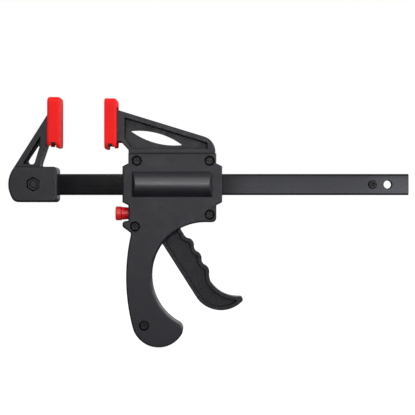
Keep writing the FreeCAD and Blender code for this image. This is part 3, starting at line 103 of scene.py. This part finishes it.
lamps = {
    # name: (place, (width, height), power, colour)
    "keyLight": ((-0.17, -1.1, 0.98), (1.8, 1.4), 6.2, (1, 1, 1)),
    "sideLight": ((1.2, -0.45, 0.35), (0.8, 0.8), 8.0, (1, 1, 1)),
    "lensPanel": ((-0.014, -0.93, 0.066), (0.085, 0.05), 0.63, (1, 1, 1)),
    "barPanel": ((0.268, -0.95, -0.066), (0.335, 0.14), 0.57, (0.88, 0.90, 1.0)),
    "endPanel": ((0.372, -0.95, -0.066), (0.11, 0.14), 0.13, (0.88, 0.90, 1.0)),
}


def makeCamera():
    camera = bpy.data.cameras.new("camera")
    camera.lens = cameraSetup["lens"]
    camera.sensor_width = cameraSetup["sensor"]
    camera.clip_start = cameraSetup["nearest"]
    holder = bpy.data.objects.new("camera", camera)
    holder.location = cameraSetup["place"]
    holder.rotation_euler = (cameraSetup["tilt"], 0, 0)
    bpy.context.scene.collection.objects.link(holder)
    bpy.context.scene.camera = holder


def areaLight(name, place, size, power, colour):
    light = bpy.data.lights.new(name, "AREA")
    light.shape = "RECTANGLE"
    light.size, light.size_y = size
    light.energy = power
    light.color = colour
    holder = bpy.data.objects.new(name, light)
    holder.location = place
    toObject = Vector(studio["aim"]) - Vector(place)
    holder.rotation_euler = toObject.to_track_quat("-Z", "Y").to_euler()
    bpy.context.scene.collection.objects.link(holder)


# one where a camera or transmission ray looks
def seenRays(nodes, links):
    path = nodes.new("ShaderNodeLightPath")
    seen = nodes.new("ShaderNodeMath")
    seen.operation = "MAXIMUM"
    links.new(path.outputs["Is Camera Ray"], seen.inputs[0])
    links.new(path.outputs["Is Transmission Ray"], seen.inputs[1])
    return path, seen


def rangeNode(nodes, fromLow, fromHigh, toLow, toHigh):
    ranged = nodes.new("ShaderNodeMapRange")
    ranged.inputs["From Min"].default_value = fromLow
    ranged.inputs["From Max"].default_value = fromHigh
    ranged.inputs["To Min"].default_value = toLow
    ranged.inputs["To Max"].default_value = toHigh
    return ranged


def makeRoom():
    world = bpy.data.worlds.new("room")
    bpy.context.scene.world = world
    world.use_nodes = True
    nodes, links = world.node_tree.nodes, world.node_tree.links
    nodes.clear()
    output = nodes.new("ShaderNodeOutputWorld")
    background = nodes.new("ShaderNodeBackground")
    background.inputs["Color"].default_value = (1, 1, 1, 1)
    path, seen = seenRays(nodes, links)
    direction = nodes.new("ShaderNodeTexCoord")
    split = nodes.new("ShaderNodeSeparateXYZ")
    links.new(direction.outputs["Generated"], split.inputs[0])
    # gloss sees the white backdrop behind the clamp and a dim room elsewhere
    gloss = rangeNode(nodes, studio["glossFrom"], studio["glossTo"], studio["glossDim"], 1.0)
    links.new(split.outputs["Y"], gloss.inputs["Value"])
    fill = rangeNode(
        nodes, -studio["fillTurn"], studio["fillTurn"], studio["fillLow"], studio["fillHigh"])
    links.new(split.outputs["Z"], fill.inputs["Value"])
    lit = nodes.new("ShaderNodeMix")
    links.new(path.outputs["Is Glossy Ray"], lit.inputs["Factor"])
    links.new(fill.outputs["Result"], lit.inputs["A"])
    links.new(gloss.outputs["Result"], lit.inputs["B"])
    shown = nodes.new("ShaderNodeMix")
    links.new(seen.outputs[0], shown.inputs["Factor"])
    links.new(lit.outputs["Result"], shown.inputs["A"])
    shown.inputs["B"].default_value = 1.0
    links.new(shown.outputs["Result"], background.inputs["Strength"])
    links.new(background.outputs[0], output.inputs["Surface"])


def makeFloor():
    sheet = bmesh.new()
    bmesh.ops.create_grid(sheet, x_segments=1, y_segments=1, size=studio["floorSize"] / 2)
    low = cadBox[0][2] - studio["floorDrop"]
    bmesh.ops.translate(sheet, verts=sheet.verts, vec=(0, 0, low))
    mesh = bpy.data.meshes.new("floor")
    sheet.to_mesh(mesh)
    sheet.free()
    floor = bpy.data.objects.new("floor", mesh)
    bpy.context.scene.collection.objects.link(floor)
    material = bpy.data.materials.new("paleFloor")
    material.use_nodes = True
    nodes, links = material.node_tree.nodes, material.node_tree.links
    nodes.clear()
    output = nodes.new("ShaderNodeOutputMaterial")
    matt = nodes.new("ShaderNodeBsdfDiffuse")
    glow = nodes.new("ShaderNodeEmission")
    path, seen = seenRays(nodes, links)
    tone = nodes.new("ShaderNodeMix")
    tone.data_type = "RGBA"
    tone.inputs[6].default_value = (*studio["floorShade"], 1)
    tone.inputs[7].default_value = (*studio["floorColour"], 1)
    links.new(seen.outputs[0], tone.inputs["Factor"])
    links.new(tone.outputs[2], matt.inputs["Color"])
    lift = nodes.new("ShaderNodeMath")
    lift.operation = "MULTIPLY"
    lift.inputs[1].default_value = studio["floorLift"]
    links.new(seen.outputs[0], lift.inputs[0])
    glowing = lift
    for ray, share in (("Is Glossy Ray", "floorGloss"), ("Is Diffuse Ray", "floorBounce")):
        added = nodes.new("ShaderNodeMath")
        added.operation = "MULTIPLY_ADD"
        added.inputs[1].default_value = studio[share]
        links.new(path.outputs[ray], added.inputs[0])
        links.new(glowing.outputs[0], added.inputs[2])
        glowing = added
    links.new(glowing.outputs[0], glow.inputs["Strength"])
    both = nodes.new("ShaderNodeAddShader")
    links.new(matt.outputs[0], both.inputs[0])
    links.new(glow.outputs[0], both.inputs[1])
    links.new(both.outputs[0], output.inputs["Surface"])
    mesh.materials.append(material)


makeCamera()
makeRoom()
makeFloor()
for lampName, (place, size, power, colour) in lamps.items():
    areaLight(lampName, place, size, power, colour)
bpy.context.scene.view_settings.view_transform = "Standard"
print("studio ready:", len(lamps), "lamps")


# finishes

shaderCare = {
    "edgeSamples": 6,
    "edgeFrom": 0.8,                # an edge is where the rounded normal leaves the true one
    "edgeTo": 0.99,
    "openSamples": 8,
    "openFrom": 0.35,               # from a corner of the piece to its plain faces
    "openTo": 0.95,
    "noiseFrom": 0.3,               # where most of a noise pattern's values lie
    "noiseTo": 0.7,
    "coarse": 2.0,                  # how finely a noise pattern is divided
    "fine": 3.0,
    "finest": 4.0,
    "broken": 0.6,
}


class Finish:
    # a material in the making; every pattern reads Object coordinates, in metres

    def __init__(self, name, colour, roughness, metallic=0.0, specular=0.5):
        self.material = bpy.data.materials.new(name)
        self.material.use_nodes = True
        self.material.diffuse_color = (*colour, 1)
        self.nodes = self.material.node_tree.nodes
        self.links = self.material.node_tree.links
        self.shader = self.nodes["Principled BSDF"]
        self.shader.inputs["Base Color"].default_value = (*colour, 1)
        self.shader.inputs["Roughness"].default_value = roughness
        self.shader.inputs["Metallic"].default_value = metallic
        self.shader.inputs["Specular IOR Level"].default_value = specular
        self.place = self.nodes.new("ShaderNodeTexCoord").outputs["Object"]
        self.normal = None

    # a socket takes a number, a colour or another node's output
    def give(self, value, socket):
        if isinstance(value, tuple):
            socket.default_value = (*value, 1)
        elif isinstance(value, (int, float)):
            socket.default_value = value
        else:
            self.links.new(value, socket)

    def feed(self, value, socket):
        self.links.new(value, self.shader.inputs[socket])

    def noise(self, scale, detail=shaderCare["coarse"], rough=0.5, stretch=(1, 1, 1)):
        mapping = self.nodes.new("ShaderNodeMapping")
        mapping.inputs["Scale"].default_value = stretch
        self.links.new(self.place, mapping.inputs["Vector"])
        texture = self.nodes.new("ShaderNodeTexNoise")
        texture.inputs["Scale"].default_value = scale
        texture.inputs["Detail"].default_value = detail
        texture.inputs["Roughness"].default_value = rough
        self.links.new(mapping.outputs["Vector"], texture.inputs["Vector"])
        return texture.outputs["Fac"]

    def cells(self, scale):
        texture = self.nodes.new("ShaderNodeTexVoronoi")
        texture.inputs["Scale"].default_value = scale
        self.links.new(self.place, texture.inputs["Vector"])
        return texture.outputs["Distance"]

    def spread(self, value, low, high,
               fromLow=shaderCare["noiseFrom"], fromHigh=shaderCare["noiseTo"]):
        ranged = rangeNode(self.nodes, fromLow, fromHigh, low, high)
        self.links.new(value, ranged.inputs["Value"])
        return ranged.outputs["Result"]

    def join(self, first, second, operation="ADD"):
        node = self.nodes.new("ShaderNodeMath")
        node.operation = operation
        self.give(first, node.inputs[0])
        self.give(second, node.inputs[1])
        return node.outputs[0]

    def distance(self, value):
        return self.join(value, 0.0, "ABSOLUTE")

    def mixed(self, share, first, second):
        node = self.nodes.new("ShaderNodeMix")
        self.links.new(share, node.inputs["Factor"])
        self.give(first, node.inputs[2])
        self.give(second, node.inputs[3])
        return node.outputs[0]

    def blend(self, share, first, second):
        node = self.nodes.new("ShaderNodeMix")
        node.data_type = "RGBA"
        self.links.new(share, node.inputs["Factor"])
        self.give(first, node.inputs[6])
        self.give(second, node.inputs[7])
        return node.outputs[2]

    def split(self, value):
        node = self.nodes.new("ShaderNodeSeparateXYZ")
        self.links.new(value, node.inputs[0])
        return node.outputs

    # rounds the look of every edge, and gives a mask of the edges
    def edges(self, radius):
        rounded = self.nodes.new("ShaderNodeBevel")
        rounded.samples = shaderCare["edgeSamples"]
        rounded.inputs["Radius"].default_value = radius
        surface = self.nodes.new("ShaderNodeNewGeometry")
        turned = self.nodes.new("ShaderNodeVectorMath")
        turned.operation = "DOT_PRODUCT"
        self.links.new(rounded.outputs["Normal"], turned.inputs[0])
        self.links.new(surface.outputs["Normal"], turned.inputs[1])
        self.normal = rounded.outputs["Normal"]
        self.feed(self.normal, "Normal")
        return self.spread(
            turned.outputs["Value"], 1.0, 0.0, shaderCare["edgeFrom"], shaderCare["edgeTo"])

    # one in the open, less in corners and pockets of the piece itself; the finishes use it to
    # paint shade into those corners
    def openness(self, reach):
        shade = self.nodes.new("ShaderNodeAmbientOcclusion")
        shade.samples = shaderCare["openSamples"]
        shade.only_local = True
        shade.inputs["Distance"].default_value = reach
        return self.spread(
            shade.outputs["AO"], 0.0, 1.0, shaderCare["openFrom"], shaderCare["openTo"])

    def emboss(self, height, depth, strength):
        node = self.nodes.new("ShaderNodeBump")
        node.inputs["Strength"].default_value = strength
        node.inputs["Distance"].default_value = depth
        self.links.new(height, node.inputs["Height"])
        if self.normal is not None:
            self.links.new(self.normal, node.inputs["Normal"])
        self.normal = node.outputs["Normal"]
        self.feed(self.normal, "Normal")


mouldedLook = {
    "colour": (0.0070, 0.0068, 0.0128),
    "pale": (0.0115, 0.0110, 0.0178),
    "mottleScale": 70,
    "cloudScale": 17.5,
    "mottleShare": 0.5,             # mottle and cloud each give up to this much of the pale
    # painted shade: the dark colour that corners and pockets of the piece take
    "paintedCreviceShade": (0.0020, 0.0020, 0.0030),
    "creviceRough": 1.0,
    "creviceReach": 1.2 * mm,
    # worn edges and a painted edge highlight: open edges take this paler colour
    "rubbedAndHighlit": (0.028, 0.027, 0.034),
    "rubAndHighlightLow": 0.2,                  # how much of the paler colour the edges take: wear and a painted edge highlight
    "rubAndHighlightHigh": 0.8,
    "edgeWidth": 0.4 * mm,
    "rough": 0.47,
    "roughLow": 0.42,
    "roughHigh": 0.52,
    "roughScale": 210,
    "grainScale": 2100,
    "grainDepth": 0.03 * mm,
    "grainStrength": 0.6,
    "pebbleScale": 900,
    "pebbleDepth": 0.025 * mm,
    "pebbleStrength": 0.5,
    "polishStart": 13.4 * mm,       # the proud crest of the housing is rubbed smooth
    "polishEnd": 14.4 * mm,
    "polishRough": 0.35,
    "polishIor": 1.75,
}

mouldedSlots = {
    # slot: (material, tint, specular)
    "housing_plastic": ("housingPlastic", (1.0, 1.0, 1.0), 0.68),
    "jaw_plastic": ("jawPlastic", (1.0, 0.99, 0.98), 0.68),
    "trigger_plastic": ("triggerPlastic", (0.72, 0.72, 0.74), 0.54),
}


def mouldedPlastic(name, tint, specular):
    look = mouldedLook
    deep = tuple(c * t for c, t in zip(look["colour"], tint))
    pale = tuple(c * t for c, t in zip(look["pale"], tint))
    finish = Finish(name, deep, look["rough"], specular=specular)
    edge = finish.edges(look["edgeWidth"])
    openness = finish.openness(look["creviceReach"])
    mottle = finish.noise(look["mottleScale"], shaderCare["finest"], shaderCare["broken"])
    cloud = finish.noise(look["cloudScale"])
    share = finish.join(
        finish.spread(mottle, 0.0, look["mottleShare"]),
        finish.spread(cloud, 0.0, look["mottleShare"]))
    # painted shade: corners and pockets of the piece are darkened through the occlusion mask
    body = finish.blend(openness, look["paintedCreviceShade"], finish.blend(share, deep, pale))
    # worn edges and a painted edge highlight, lightening the open edges
    rubAndHighlight = finish.spread(mottle, look["rubAndHighlightLow"], look["rubAndHighlightHigh"])
    worn = finish.join(finish.join(edge, openness, "MULTIPLY"), rubAndHighlight, "MULTIPLY")
    finish.feed(finish.blend(worn, body, look["rubbedAndHighlit"]), "Base Color")
    fromMiddle = finish.distance(finish.split(finish.place)["Y"])
    crest = finish.spread(fromMiddle, 0.0, 1.0, look["polishStart"], look["polishEnd"])
    skin = finish.noise(look["roughScale"], shaderCare["fine"])
    rough = finish.spread(skin, look["roughLow"], look["roughHigh"])
    finish.feed(finish.mixed(openness, look["creviceRough"], rough), "Roughness")
    finish.feed(crest, "Coat Weight")
    finish.shader.inputs["Coat Roughness"].default_value = look["polishRough"]
    finish.shader.inputs["Coat IOR"].default_value = look["polishIor"]
    finish.emboss(finish.cells(look["pebbleScale"]), look["pebbleDepth"], look["pebbleStrength"])
    finish.emboss(finish.noise(look["grainScale"]), look["grainDepth"], look["grainStrength"])
    return finish.material


padLook = {
    "colour": (0.97, 0.0050, 0.0040),
    "deep": (0.88, 0.0030, 0.0040),
    "mottleScale": 110,
    "mottleShare": 0.5,
    # painted shade: the darker red that corners and pockets of the pad take
    "paintedCreviceShade": (0.40, 0.002, 0.003),
    "creviceReach": 2.5 * mm,
    # worn rubber and a painted highlight: open edges, such as the rounded tops, take this pale
    # pink
    "rubbedAndHighlit": (0.90, 0.15, 0.12),
    "rubAndHighlight": 0.6,                     # how much of the pale colour the edges take: worn rubber and a painted highlight
    "edgeWidth": 0.5 * mm,
    "specular": 0.28,
    "rough": 0.6,
    "roughLow": 0.56,
    "roughHigh": 0.66,
    "roughScale": 220,
    "faceRough": 0.74,              # the clamping faces are matt
    "faceFrom": 0.5,                # a face is one that turns this far to the other jaw
    "faceTo": 0.95,
    "skinScale": 420,
    "skinDepth": 0.02 * mm,
    "skinStrength": 0.4,
}


def padRubber():
    look = padLook
    finish = Finish("padRed", look["colour"], look["rough"], specular=look["specular"])
    edge = finish.edges(look["edgeWidth"])
    openness = finish.openness(look["creviceReach"])
    mottle = finish.spread(
        finish.noise(look["mottleScale"], shaderCare["fine"]), 0.0, look["mottleShare"])
    body = finish.blend(mottle, look["colour"], look["deep"])
    # painted shade: corners and pockets of the pad are darkened through the occlusion mask
    body = finish.blend(openness, look["paintedCreviceShade"], body)
    # worn edges and a painted highlight, paling the open edges
    worn = finish.join(finish.join(edge, openness, "MULTIPLY"), look["rubAndHighlight"], "MULTIPLY")
    finish.feed(finish.blend(worn, body, look["rubbedAndHighlit"]), "Base Color")
    surface = finish.nodes.new("ShaderNodeTexCoord")
    sideways = finish.distance(finish.split(surface.outputs["Normal"])["X"])
    clampFace = finish.spread(sideways, 0.0, 1.0, look["faceFrom"], look["faceTo"])
    skin = finish.noise(look["roughScale"], shaderCare["fine"])
    rough = finish.spread(skin, look["roughLow"], look["roughHigh"])
    matt = finish.join(clampFace, look["faceRough"] - look["roughHigh"], "MULTIPLY")
    finish.feed(finish.join(rough, matt), "Roughness")
    pores = finish.noise(look["skinScale"], shaderCare["fine"])
    finish.emboss(pores, look["skinDepth"], look["skinStrength"])
    return finish.material


buttonLook = {
    "colour": (0.95, 0.005, 0.012),
    "deep": (0.94, 0.002, 0.008),
    "mottleScale": 160,
    "mottleShare": 0.6,
    # painted shade: the darker red that corners of the button take
    "paintedCreviceShade": (0.80, 0.002, 0.006),
    "creviceReach": 2.0 * mm,
    "edgeWidth": 0.35 * mm,
    "specular": 0.85,
    "rough": 0.32,
    "roughLow": 0.30,
    "roughHigh": 0.34,
    "roughScale": 300,
    "waveScale": 180,
    "waveDepth": 0.002 * mm,
    "waveStrength": 0.3,
}


def buttonPlastic():
    look = buttonLook
    finish = Finish("buttonRed", look["colour"], look["rough"], specular=look["specular"])
    finish.edges(look["edgeWidth"])
    mottle = finish.spread(
        finish.noise(look["mottleScale"], shaderCare["fine"]), 0.0, look["mottleShare"])
    body = finish.blend(mottle, look["colour"], look["deep"])
    # painted shade: corners of the button are darkened through the occlusion mask
    body = finish.blend(finish.openness(look["creviceReach"]), look["paintedCreviceShade"], body)
    finish.feed(body, "Base Color")
    skin = finish.noise(look["roughScale"], shaderCare["fine"])
    finish.feed(finish.spread(skin, look["roughLow"], look["roughHigh"]), "Roughness")
    finish.emboss(finish.noise(look["waveScale"]), look["waveDepth"], look["waveStrength"])
    return finish.material


barLook = {
    "colour": (0.0050, 0.0044, 0.0052),
    "pale": (0.0100, 0.0094, 0.0112),
    "paleShare": 0.5,               # draw lines and blotches each give up to this much of it
    "worn": (0.030, 0.029, 0.031),
    "wornShare": 0.5,
    "wornScale": 500,
    "edgeWidth": 0.25 * mm,
    "drawScale": 900,
    "drawStretch": (0.012, 1.0, 1.0),
    "drawDepth": 0.0012 * mm,
    "drawStrength": 0.5,
    "blotchScale": 45,
    "specular": 0.25,
    "rough": 0.11,
    "roughLow": 0.09,
    "roughHigh": 0.13,
    "smoothBlotch": -0.01,          # what the blotches add to the roughness
    "roughBlotch": 0.02,
    "boreRough": 0.95,              # the hanging hole's wall is matt
    "boreRadius": 2.9 * mm,
    "boreFade": 0.97,
}


def barOxide():
    look = barLook
    finish = Finish("barSteel", look["colour"], look["rough"], specular=look["specular"])
    edge = finish.edges(look["edgeWidth"])
    draw = finish.noise(
        look["drawScale"], shaderCare["finest"], shaderCare["broken"], look["drawStretch"])
    blotch = finish.noise(look["blotchScale"], shaderCare["finest"], shaderCare["broken"])
    share = finish.join(
        finish.spread(draw, 0.0, look["paleShare"]),
        finish.spread(blotch, 0.0, look["paleShare"]))
    body = finish.blend(share, look["colour"], look["pale"])
    patchy = finish.spread(
        finish.noise(look["wornScale"], shaderCare["fine"]), 0.0, look["wornShare"])
    worn = finish.join(edge, patchy, "MULTIPLY")
    finish.feed(finish.blend(worn, body, look["worn"]), "Base Color")
    hole = boreCentre()
    across = finish.split(finish.place)
    reachX = finish.join(finish.join(across["X"], -hole.x), 2.0, "POWER")
    reachZ = finish.join(finish.join(across["Z"], -hole.z), 2.0, "POWER")
    away = finish.join(finish.join(reachX, reachZ), 0.5, "POWER")
    bore = finish.spread(
        away, 1.0, 0.0, look["boreRadius"] * look["boreFade"], look["boreRadius"])
    smooth = finish.join(
        finish.spread(draw, look["roughLow"], look["roughHigh"]),
        finish.spread(blotch, look["smoothBlotch"], look["roughBlotch"]))
    matt = finish.join(bore, look["boreRough"] - look["roughHigh"], "MULTIPLY")
    finish.feed(finish.join(smooth, matt), "Roughness")
    finish.emboss(draw, look["drawDepth"], look["drawStrength"])
    return finish.material


# the hanging hole lies as far from the bar's end as the record's mount says
def boreCentre():
    for mount in frame["record"]["mounts"]:
        if mount["name"] == "bar_end_hole":
            return Vector(mount["pos_m"])


hardwareLook = {
    "speckleScale": 380,
    "creviceShadeTone": 0.3,             # how dark the painted shade in corners is, against the plain colour
    "creviceReach": 1.2 * mm,
    "rubAndHighlight": 0.5,
    "rubbedAndHighlitTone": 2.0,              # how bright the worn edges with their painted highlight are, against the pale colour
    "edgeWidth": 0.2 * mm,
    "smoother": 0.07,               # what the speckle takes from the roughness
    "rougher": 0.09,                # and adds to it
    "grainScale": 1140,
    "grainDepth": 0.006 * mm,
    "grainStrength": 0.5,
}

hardwareSlots = {
    # slot: (material, colour, pale, roughness, metallic)
    "black_steel": ("blackSteel", (0.013, 0.0115, 0.0115), (0.028, 0.024, 0.023), 0.44, 0.0),
    "screws": ("screwBlack", (0.008, 0.0077, 0.0084), (0.017, 0.0165, 0.0178), 0.42, 0.0),
    "bright_steel": ("brightSteel", (0.50, 0.50, 0.51), (0.62, 0.62, 0.63), 0.32, 1.0),
}


def hardwareSteel(name, colour, pale, roughness, metallic):
    look = hardwareLook
    finish = Finish(name, colour, roughness, metallic=metallic)
    edge = finish.edges(look["edgeWidth"])
    openness = finish.openness(look["creviceReach"])
    speckle = finish.noise(look["speckleScale"], shaderCare["finest"], shaderCare["broken"])
    body = finish.blend(finish.spread(speckle, 0.0, 1.0), colour, pale)
    # painted shade: corners are darkened through the occlusion mask
    body = finish.blend(openness, tuple(look["creviceShadeTone"] * c for c in colour), body)
    # worn edges and a painted edge highlight, lightening the open edges
    worn = finish.join(finish.join(edge, openness, "MULTIPLY"), look["rubAndHighlight"], "MULTIPLY")
    rubbedAndHighlit = tuple(min(1.0, look["rubbedAndHighlitTone"] * c) for c in pale)
    finish.feed(finish.blend(worn, body, rubbedAndHighlit), "Base Color")
    rough = finish.spread(speckle, roughness - look["smoother"], roughness + look["rougher"])
    finish.feed(rough, "Roughness")
    finish.emboss(finish.noise(look["grainScale"]), look["grainDepth"], look["grainStrength"])
    return finish.material


finishes = {
    "pad_red": padRubber(),
    "button_red": buttonPlastic(),
    "bar_steel": barOxide(),
}
for slot, setup in mouldedSlots.items():
    finishes[slot] = mouldedPlastic(*setup)
for slot, setup in hardwareSlots.items():
    finishes[slot] = hardwareSteel(*setup)
slotOf = {part["node"]: part["material_slot"] for part in frame["record"]["subparts"]}


def finishOf(node):
    return finishes["screws" if node.startswith("housing_screw") else slotOf[node]]


print("finishes ready:", len(finishes))


# pieces finished from the frame's solids

mergedPieces = {
    # node: (piece, radius of its fine edges, segments); the larger rounds are the solid's own
    "housing_front": ("housingFrontShell", 0.0, 0),
    "housing_rear": ("housingRearShell", 0.0, 0),
    "fixed_jaw": ("fixedJawCasting", 0.0, 0),
    "trigger": ("triggerLever", 0.0, 0),
    "bar": ("slideBar", 0.45 * mm, 3),
    "fixed_jaw_pad": ("fixedPadCap", 0.0, 0),
    "moving_jaw_pad": ("movingPadCap", 0.0, 0),
    "release_button": ("releasePlunger", 0.12 * mm, 2),
    "bar_stop_pin": ("stopPin", 0.15 * mm, 2),
    "fixed_jaw_nut": ("hexNut", 0.12 * mm, 2),
    "fixed_jaw_bolt": ("jawBolt", 0.12 * mm, 2),
    "housing_screw_1": ("housingScrew1", 0.08 * mm, 2),
    "housing_screw_2": ("housingScrew2", 0.08 * mm, 2),
    "housing_screw_3": ("housingScrew3", 0.08 * mm, 2),
    "housing_screw_4": ("housingScrew4", 0.08 * mm, 2),
    "housing_screw_5": ("housingScrew5", 0.08 * mm, 2),
    "drive_plate_1": ("drivePlate1", 0.15 * mm, 2),
    "drive_plate_2": ("drivePlate2", 0.15 * mm, 2),
    "brake_plate": ("brakePlate", 0.15 * mm, 2),
    "trigger_pivot_pin": ("pivotPin", 0.2 * mm, 2),
}

meshCare = {
    "mergeReach": 0.002 * mm,
    "flatAngle": math.radians(0.4),     # faces flatter than this to each other become one
    "sharpAngle": math.radians(28),     # edges sharper than this are rounded
    "smoothAngle": math.radians(32),    # and those sharper than this stay crisp
}


def bevelFineEdges(shape, radius, segments):
    sharp = [
        edge for edge in shape.edges
        if len(edge.link_faces) == 2 and edge.calc_face_angle(0) > meshCare["sharpAngle"]]
    bmesh.ops.bevel(
        shape, geom=sharp, offset=radius, offset_type="OFFSET", segments=segments, profile=0.5,
        affect="EDGES", clamp_overlap=False, material=-1)
    bmesh.ops.remove_doubles(shape, verts=shape.verts, dist=meshCare["mergeReach"])


springBulge = {
    "nodes": ("housing_front", "housing_rear"),
    "radius": 11.6 * mm,
    "offset": 3.0 * mm,             # its axis lies this far out from the bar's middle plane
    "height": boreCentre().z,       # and as high as the bar
    "face": 11.0 * mm,              # the housing's flat side, from which it rises
    "cut": 0.6 * mm,                # its strips are this high
    "reach": 0.15 * mm,             # and its corners lie this near the true round
}


def onBulge(vert):
    out = math.hypot(abs(vert.co.y) - springBulge["offset"], vert.co.z - springBulge["height"])
    return (abs(vert.co.y) > springBulge["face"] - meshCare["mergeReach"]
            and abs(out - springBulge["radius"]) < springBulge["reach"])


def refineBulge(shape):
    half = springBulge["radius"]
    level = -half
    while level < half:
        level += springBulge["cut"]
        faces = [face for face in shape.faces if all(onBulge(vert) for vert in face.verts)]
        edges = list({edge for face in faces for edge in face.edges})
        verts = list({vert for face in faces for vert in face.verts})
        bmesh.ops.bisect_plane(
            shape, geom=verts + edges + faces, dist=meshCare["mergeReach"],
            plane_co=(0, 0, springBulge["height"] + level), plane_no=(0, 0, 1))
    for vert in shape.verts:
        if onBulge(vert):
            side = math.copysign(1, vert.co.y)
            out = Vector((
                abs(vert.co.y) - springBulge["offset"], vert.co.z - springBulge["height"]))
            out *= springBulge["radius"] / out.length
            vert.co.y = side * (out.x + springBulge["offset"])
            vert.co.z = out.y + springBulge["height"]


def mergedCopy(node, name, radius, segments):
    shape = bmesh.new()
    shape.from_mesh(cadNodes[node].data)
    bmesh.ops.remove_doubles(shape, verts=shape.verts, dist=meshCare["mergeReach"])
    bmesh.ops.dissolve_limit(
        shape, angle_limit=meshCare["flatAngle"], use_dissolve_boundaries=False,
        verts=shape.verts, edges=shape.edges)
    if node in springBulge["nodes"]:
        refineBulge(shape)
    if segments:
        bevelFineEdges(shape, radius, segments)
    shape.normal_update()
    for face in shape.faces:
        face.smooth = True
    for edge in shape.edges:
        edge.smooth = edge.calc_face_angle(0) < meshCare["smoothAngle"]
    mesh = bpy.data.meshes.new(name)
    shape.to_mesh(mesh)
    shape.free()
    mesh.materials.clear()
    mesh.materials.append(finishOf(node))
    piece = bpy.data.objects.new(name, mesh)
    bpy.context.scene.collection.objects.link(piece)
    evenNormals = piece.modifiers.new("evenNormals", "WEIGHTED_NORMAL")
    evenNormals.keep_sharp = True
    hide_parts(node)
    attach(piece, cadNodes[node]["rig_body"])


for node, (name, radius, segments) in mergedPieces.items():
    mergedCopy(node, name, radius, segments)
print("pieces finished:", len(mergedPieces))

# the springs stay the frame's own nodes, and only take a finish
for node, solid in cadNodes.items():
    if node not in mergedPieces:
        solid.data.materials.clear()
        solid.data.materials.append(finishOf(node))
print("springs dressed:", len(cadNodes) - len(mergedPieces))
